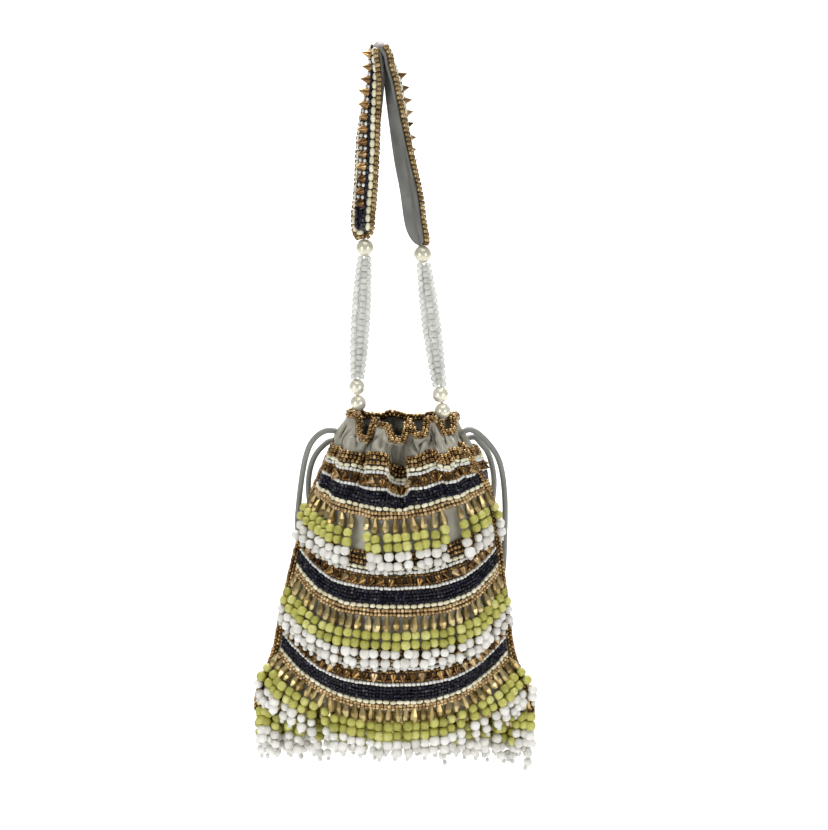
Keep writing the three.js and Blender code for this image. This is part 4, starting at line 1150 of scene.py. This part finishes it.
lots = []
for limb in ("left", "right"):
    for w, kind, wide, long, slot, start in (
        (0.93, "tile", 3.6, 2.75, 0, 0.25),
        (-0.93, "tile", 3.6, 2.75, 0, 0.25),
        (0.61, "rice", 3.3, 4.9, 1, 3.6),
        (-0.61, "rice", 3.3, 4.9, 1, 3.6),
        (0.32, "cut", 2.6, 2.6, 2, 6.4),
        (-0.32, "cut", 2.6, 2.6, 2, 6.4),
    ):
        at, go, out, step = strap_row(limb, w, 0.46 * wide + 0.15, long, start, BEAD_FOLD)
        n = len(at)
        template = {"tile": TILE, "rice": RICE, "cut": CUT}[kind]
        size = np.array([step * 0.98, wide, wide]) * (1 + rng.normal(0, 0.035, (n, 3)))
        lots.append(stamp(template, at + rng.normal(0, 0.07, (n, 3)), frames(go + rng.normal(0, 0.06, (n, 3)), out, rng.uniform(0, 6.28, n)), size, slot))
    # cones with a pair of small pale beads between each two
    at, go, out, step = strap_row(limb, 0.0, 0.35, 7.15, CONE_END, CONE_FOLD[limb])
    n = len(at)
    lots.append(stamp(CONE, at, frames(out + rng.normal(0, 0.07, (n, 3)), go, rng.uniform(0, 6.28, n)), np.array([6.6, 5.9, 5.9]) * (1 + rng.normal(0, 0.04, (n, 1))), 3))
    for w in (0.13, -0.13):
        at, go, out, step = strap_row(limb, w, 1.5, 7.15, CONE_END + 3.6, 6.6)
        n = len(at)
        lots.append(stamp(RICE, at, frames(go, out, rng.uniform(0, 6.28, n)), np.array([2.3, 2.2, 2.2]), 4))
    # a cream bead across the limb's end
    tip = np.array([3.4 if limb == "left" else STRAP_LENGTH - 3.4])
    f = strap_frame(tip)
    lots.append(stamp(RICE, on_strap(f, np.zeros(1), np.array([STRAP_THICK / 2 + 1.6])), frames(f["across"], f["out"]), np.array([4.4, 3.0, 3.0]), 1))
    # gold beads round the tip
    tip = np.array([0.9, 0.9] if limb == "left" else [STRAP_LENGTH - 0.9, STRAP_LENGTH - 0.9])
    f = strap_frame(tip)
    lots.append(stamp(TILE, on_strap(f, np.array([-0.47, 0.47]), np.full(2, STRAP_THICK / 2 + 1.5)), frames(f["across"], f["out"]), np.array([2.6, 3.3, 3.3]), 0))
    # navy cluster above it
    for w in (-0.12, 0.1):
        at, go, out, step = strap_row(limb, w, 1.5, 3.4, 5.5, FOLD - CONE_END if limb == "left" else STRAP_LENGTH - FOLD - CONE_END)
        n = len(at)
        lots.append(stamp(CUT, at + rng.normal(0, 0.15, (n, 3)), frames(go + rng.normal(0, 0.15, (n, 3)), out, rng.uniform(0, 6.28, n)), np.array([step, 2.3, 2.3]), 2))
fold_stops = np.linspace(FOLD - 3.2, FOLD + 3.2, 34)
crown = lambda s, w: STRAP_THICK / 2 + GAP + 1.7 * np.sqrt(np.maximum(0.02, 1 - ((s - FOLD) / 3.3) ** 2)) * (1 - 0.35 * w**2)
lots.append(strap_plate(fold_stops, np.linspace(-1, 1, 13), STRAP_THICK / 2 + GAP * 0.5, crown, 5))
for l in lots:
    if l.get("uv") is None:
        l["uv"] = np.zeros((len(l["loops"]), 2))
strap_beads = build("strap_bead_rows", lots, STRAP_BEADS)
finish_piece(strap_beads, "handle_beads", "handle_beadwork")

# ---------- pearls, glass strings and disc stacks ----------
GLASS_WIDE = 4.1
for side, spots in SIDES.items():
    top, mid, low, end = (np.array(spots[k], float) for k in ("top", "mid", "low", "end"))
    for level, at, radius, below in (("top", top + np.array([0.0, 0.0, 0.5]), PEARL_RADIUS + 0.3, mid), ("mid", mid, PEARL_RADIUS_LOW + 0.15, low), ("low", low, PEARL_RADIUS_LOW + 0.15, end)):
        # The top pearls take a darker tone and the mid and low ones a lighter tone: painted shade on the well-lit top
        # pearls and painted light on the lower pearls that the bag shades.
        o = build(
            f"pearl_bead_{side}_{level}",
            [stamp(BALL, at[None], frames((below - at)[None], np.array([[0.0, -1.0, 0.0]])), np.array([2 * radius, 2 * radius, 2 * radius]), 0, tone=0.25 if level == "top" else 0.9)],
            [pearl],
        )
        finish_piece(o, "pearl", f"pearl_{side}_{level}")
    axis = mid - top
    length = np.linalg.norm(axis)
    axis = axis / length
    for i, (angle, swell) in enumerate(STRINGS):
        first, last = 4.5, length - 4.5
        s = np.linspace(0, 1, 400)
        r = BUNDLE_RADIUS - 0.75 + (swell + 0.2) * np.sin(np.pi * s) ** 0.75
        a = math.radians(angle)
        line = top + axis * (first + (last - first) * s)[:, None] + r[:, None] * np.array([math.cos(a), math.sin(a), 0.0])
        spacing = (last - first) / (GLASS_BEADS + 1)
        at, go, out, step = march(line, np.tile([[math.cos(a), math.sin(a), 0.0]], (400, 1)), spacing, shift=1.0 if i % 2 else 0.5)
        if i % 2:  # the front and back strings lie half a bead lower
            at, go, out = at[:-1], go[:-1], out[:-1]
        n = len(at)
        o = build(
            f"glass_string_{side}_{i + 1}",
            [stamp(CLEAR, at, frames(go + rng.normal(0, 0.08, (n, 3)), out, rng.uniform(0, 6.28, n)), np.array([step * 1.03, GLASS_WIDE, GLASS_WIDE]) * (1 + rng.normal(0, 0.03, (n, 1))), 0)],
            [clear],
        )
        finish_piece(o, "clear_beads", f"glass_strand_{side}_{i + 1}")
    way = end - low
    drop = np.linalg.norm(way)
    way = way / drop
    s = PEARL_RADIUS_LOW + 0.4 + (drop - PEARL_RADIUS_LOW - 0.4) * (np.arange(DISC_COUNT) + 0.5) / DISC_COUNT
    step = (drop - PEARL_RADIUS_LOW - 0.4) / DISC_COUNT
    n = len(s)
    o = build(
        f"gold_disc_stack_{side}",
        [stamp(DISC, low + way * s[:, None], frames(np.tile(way, (n, 1)) + rng.normal(0, 0.05, (n, 3)), np.tile([[0.0, -1.0, 0.0]], (n, 1))), np.array([step * 0.96, 2 * DISC_RADIUS, 2 * DISC_RADIUS]), 0)],
        [brass],
    )
    finish_piece(o, "gold_discs", f"disc_stack_{side}")

# ---------- stage and light ----------
FLOOR = -0.52
profile = [(-12.0, FLOOR), (1.9, FLOOR)]
profile += [(1.9 + 0.6 * math.sin(a), FLOOR + 0.6 - 0.6 * math.cos(a)) for a in np.linspace(0.1, math.pi / 2, 16)]
profile += [(2.5, 3.0)]
points = [(x, y, z) for y, z in profile for x in (-12.0, 12.0)]
faces = [(2 * i, 2 * i + 1, 2 * i + 3, 2 * i + 2) for i in range(len(profile) - 1)]
floor_mesh = bpy.data.meshes.new("floor")
floor_mesh.from_pydata(points, [], faces)
floor_mesh.shade_smooth()
floor = bpy.data.objects.new("floor", floor_mesh)
scene.collection.objects.link(floor)
paper, tree, shader = nodes_of("floor_paper")
fine = noise(tree, 6.0, 3.0)
tree.links.new(ramp(tree, fine, [(0.3, (0.90, 0.90, 0.90)), (0.7, (0.93, 0.93, 0.93))]), shader.inputs["Base Color"])
shader.inputs["Roughness"].default_value = 0.9
shader.inputs["Specular IOR Level"].default_value = 0.1
floor_mesh.materials.append(paper)


def area_light(name, at, aim, size, watts, colour=(1.0, 1.0, 1.0)):
    data = bpy.data.lights.new(name, "AREA")
    data.shape = "SQUARE"
    data.size = size
    data.energy = watts
    data.color = colour
    o = bpy.data.objects.new(name, data)
    scene.collection.objects.link(o)
    o.location = at
    o.rotation_euler = (Vector(aim) - Vector(at)).to_track_quat("-Z", "Y").to_euler()


area_light("left_box", (-1.25, -1.45, -0.10), (0.01, 0.0, -0.24), 0.75, 11.0)
area_light("right_box", (1.30, -1.45, -0.05), (0.01, 0.0, -0.24), 0.75, 9.5)
area_light("top_box", (0.1, -0.5, 1.35), (0.01, 0.0, -0.25), 1.2, 8.0)
area_light("back_box", (0.0, 0.9, 1.9), (0.0, 2.0, -0.5), 1.8, 95.0)
world = bpy.data.worlds.new("studio")
scene.world = world
world.use_nodes = True
world.node_tree.nodes["Background"].inputs["Color"].default_value = (1.0, 1.0, 1.0, 1.0)
world.node_tree.nodes["Background"].inputs["Strength"].default_value = 0.22
scene.view_settings.view_transform = "Standard"
scene.view_settings.look = "None"

bpy.context.view_layer.update()
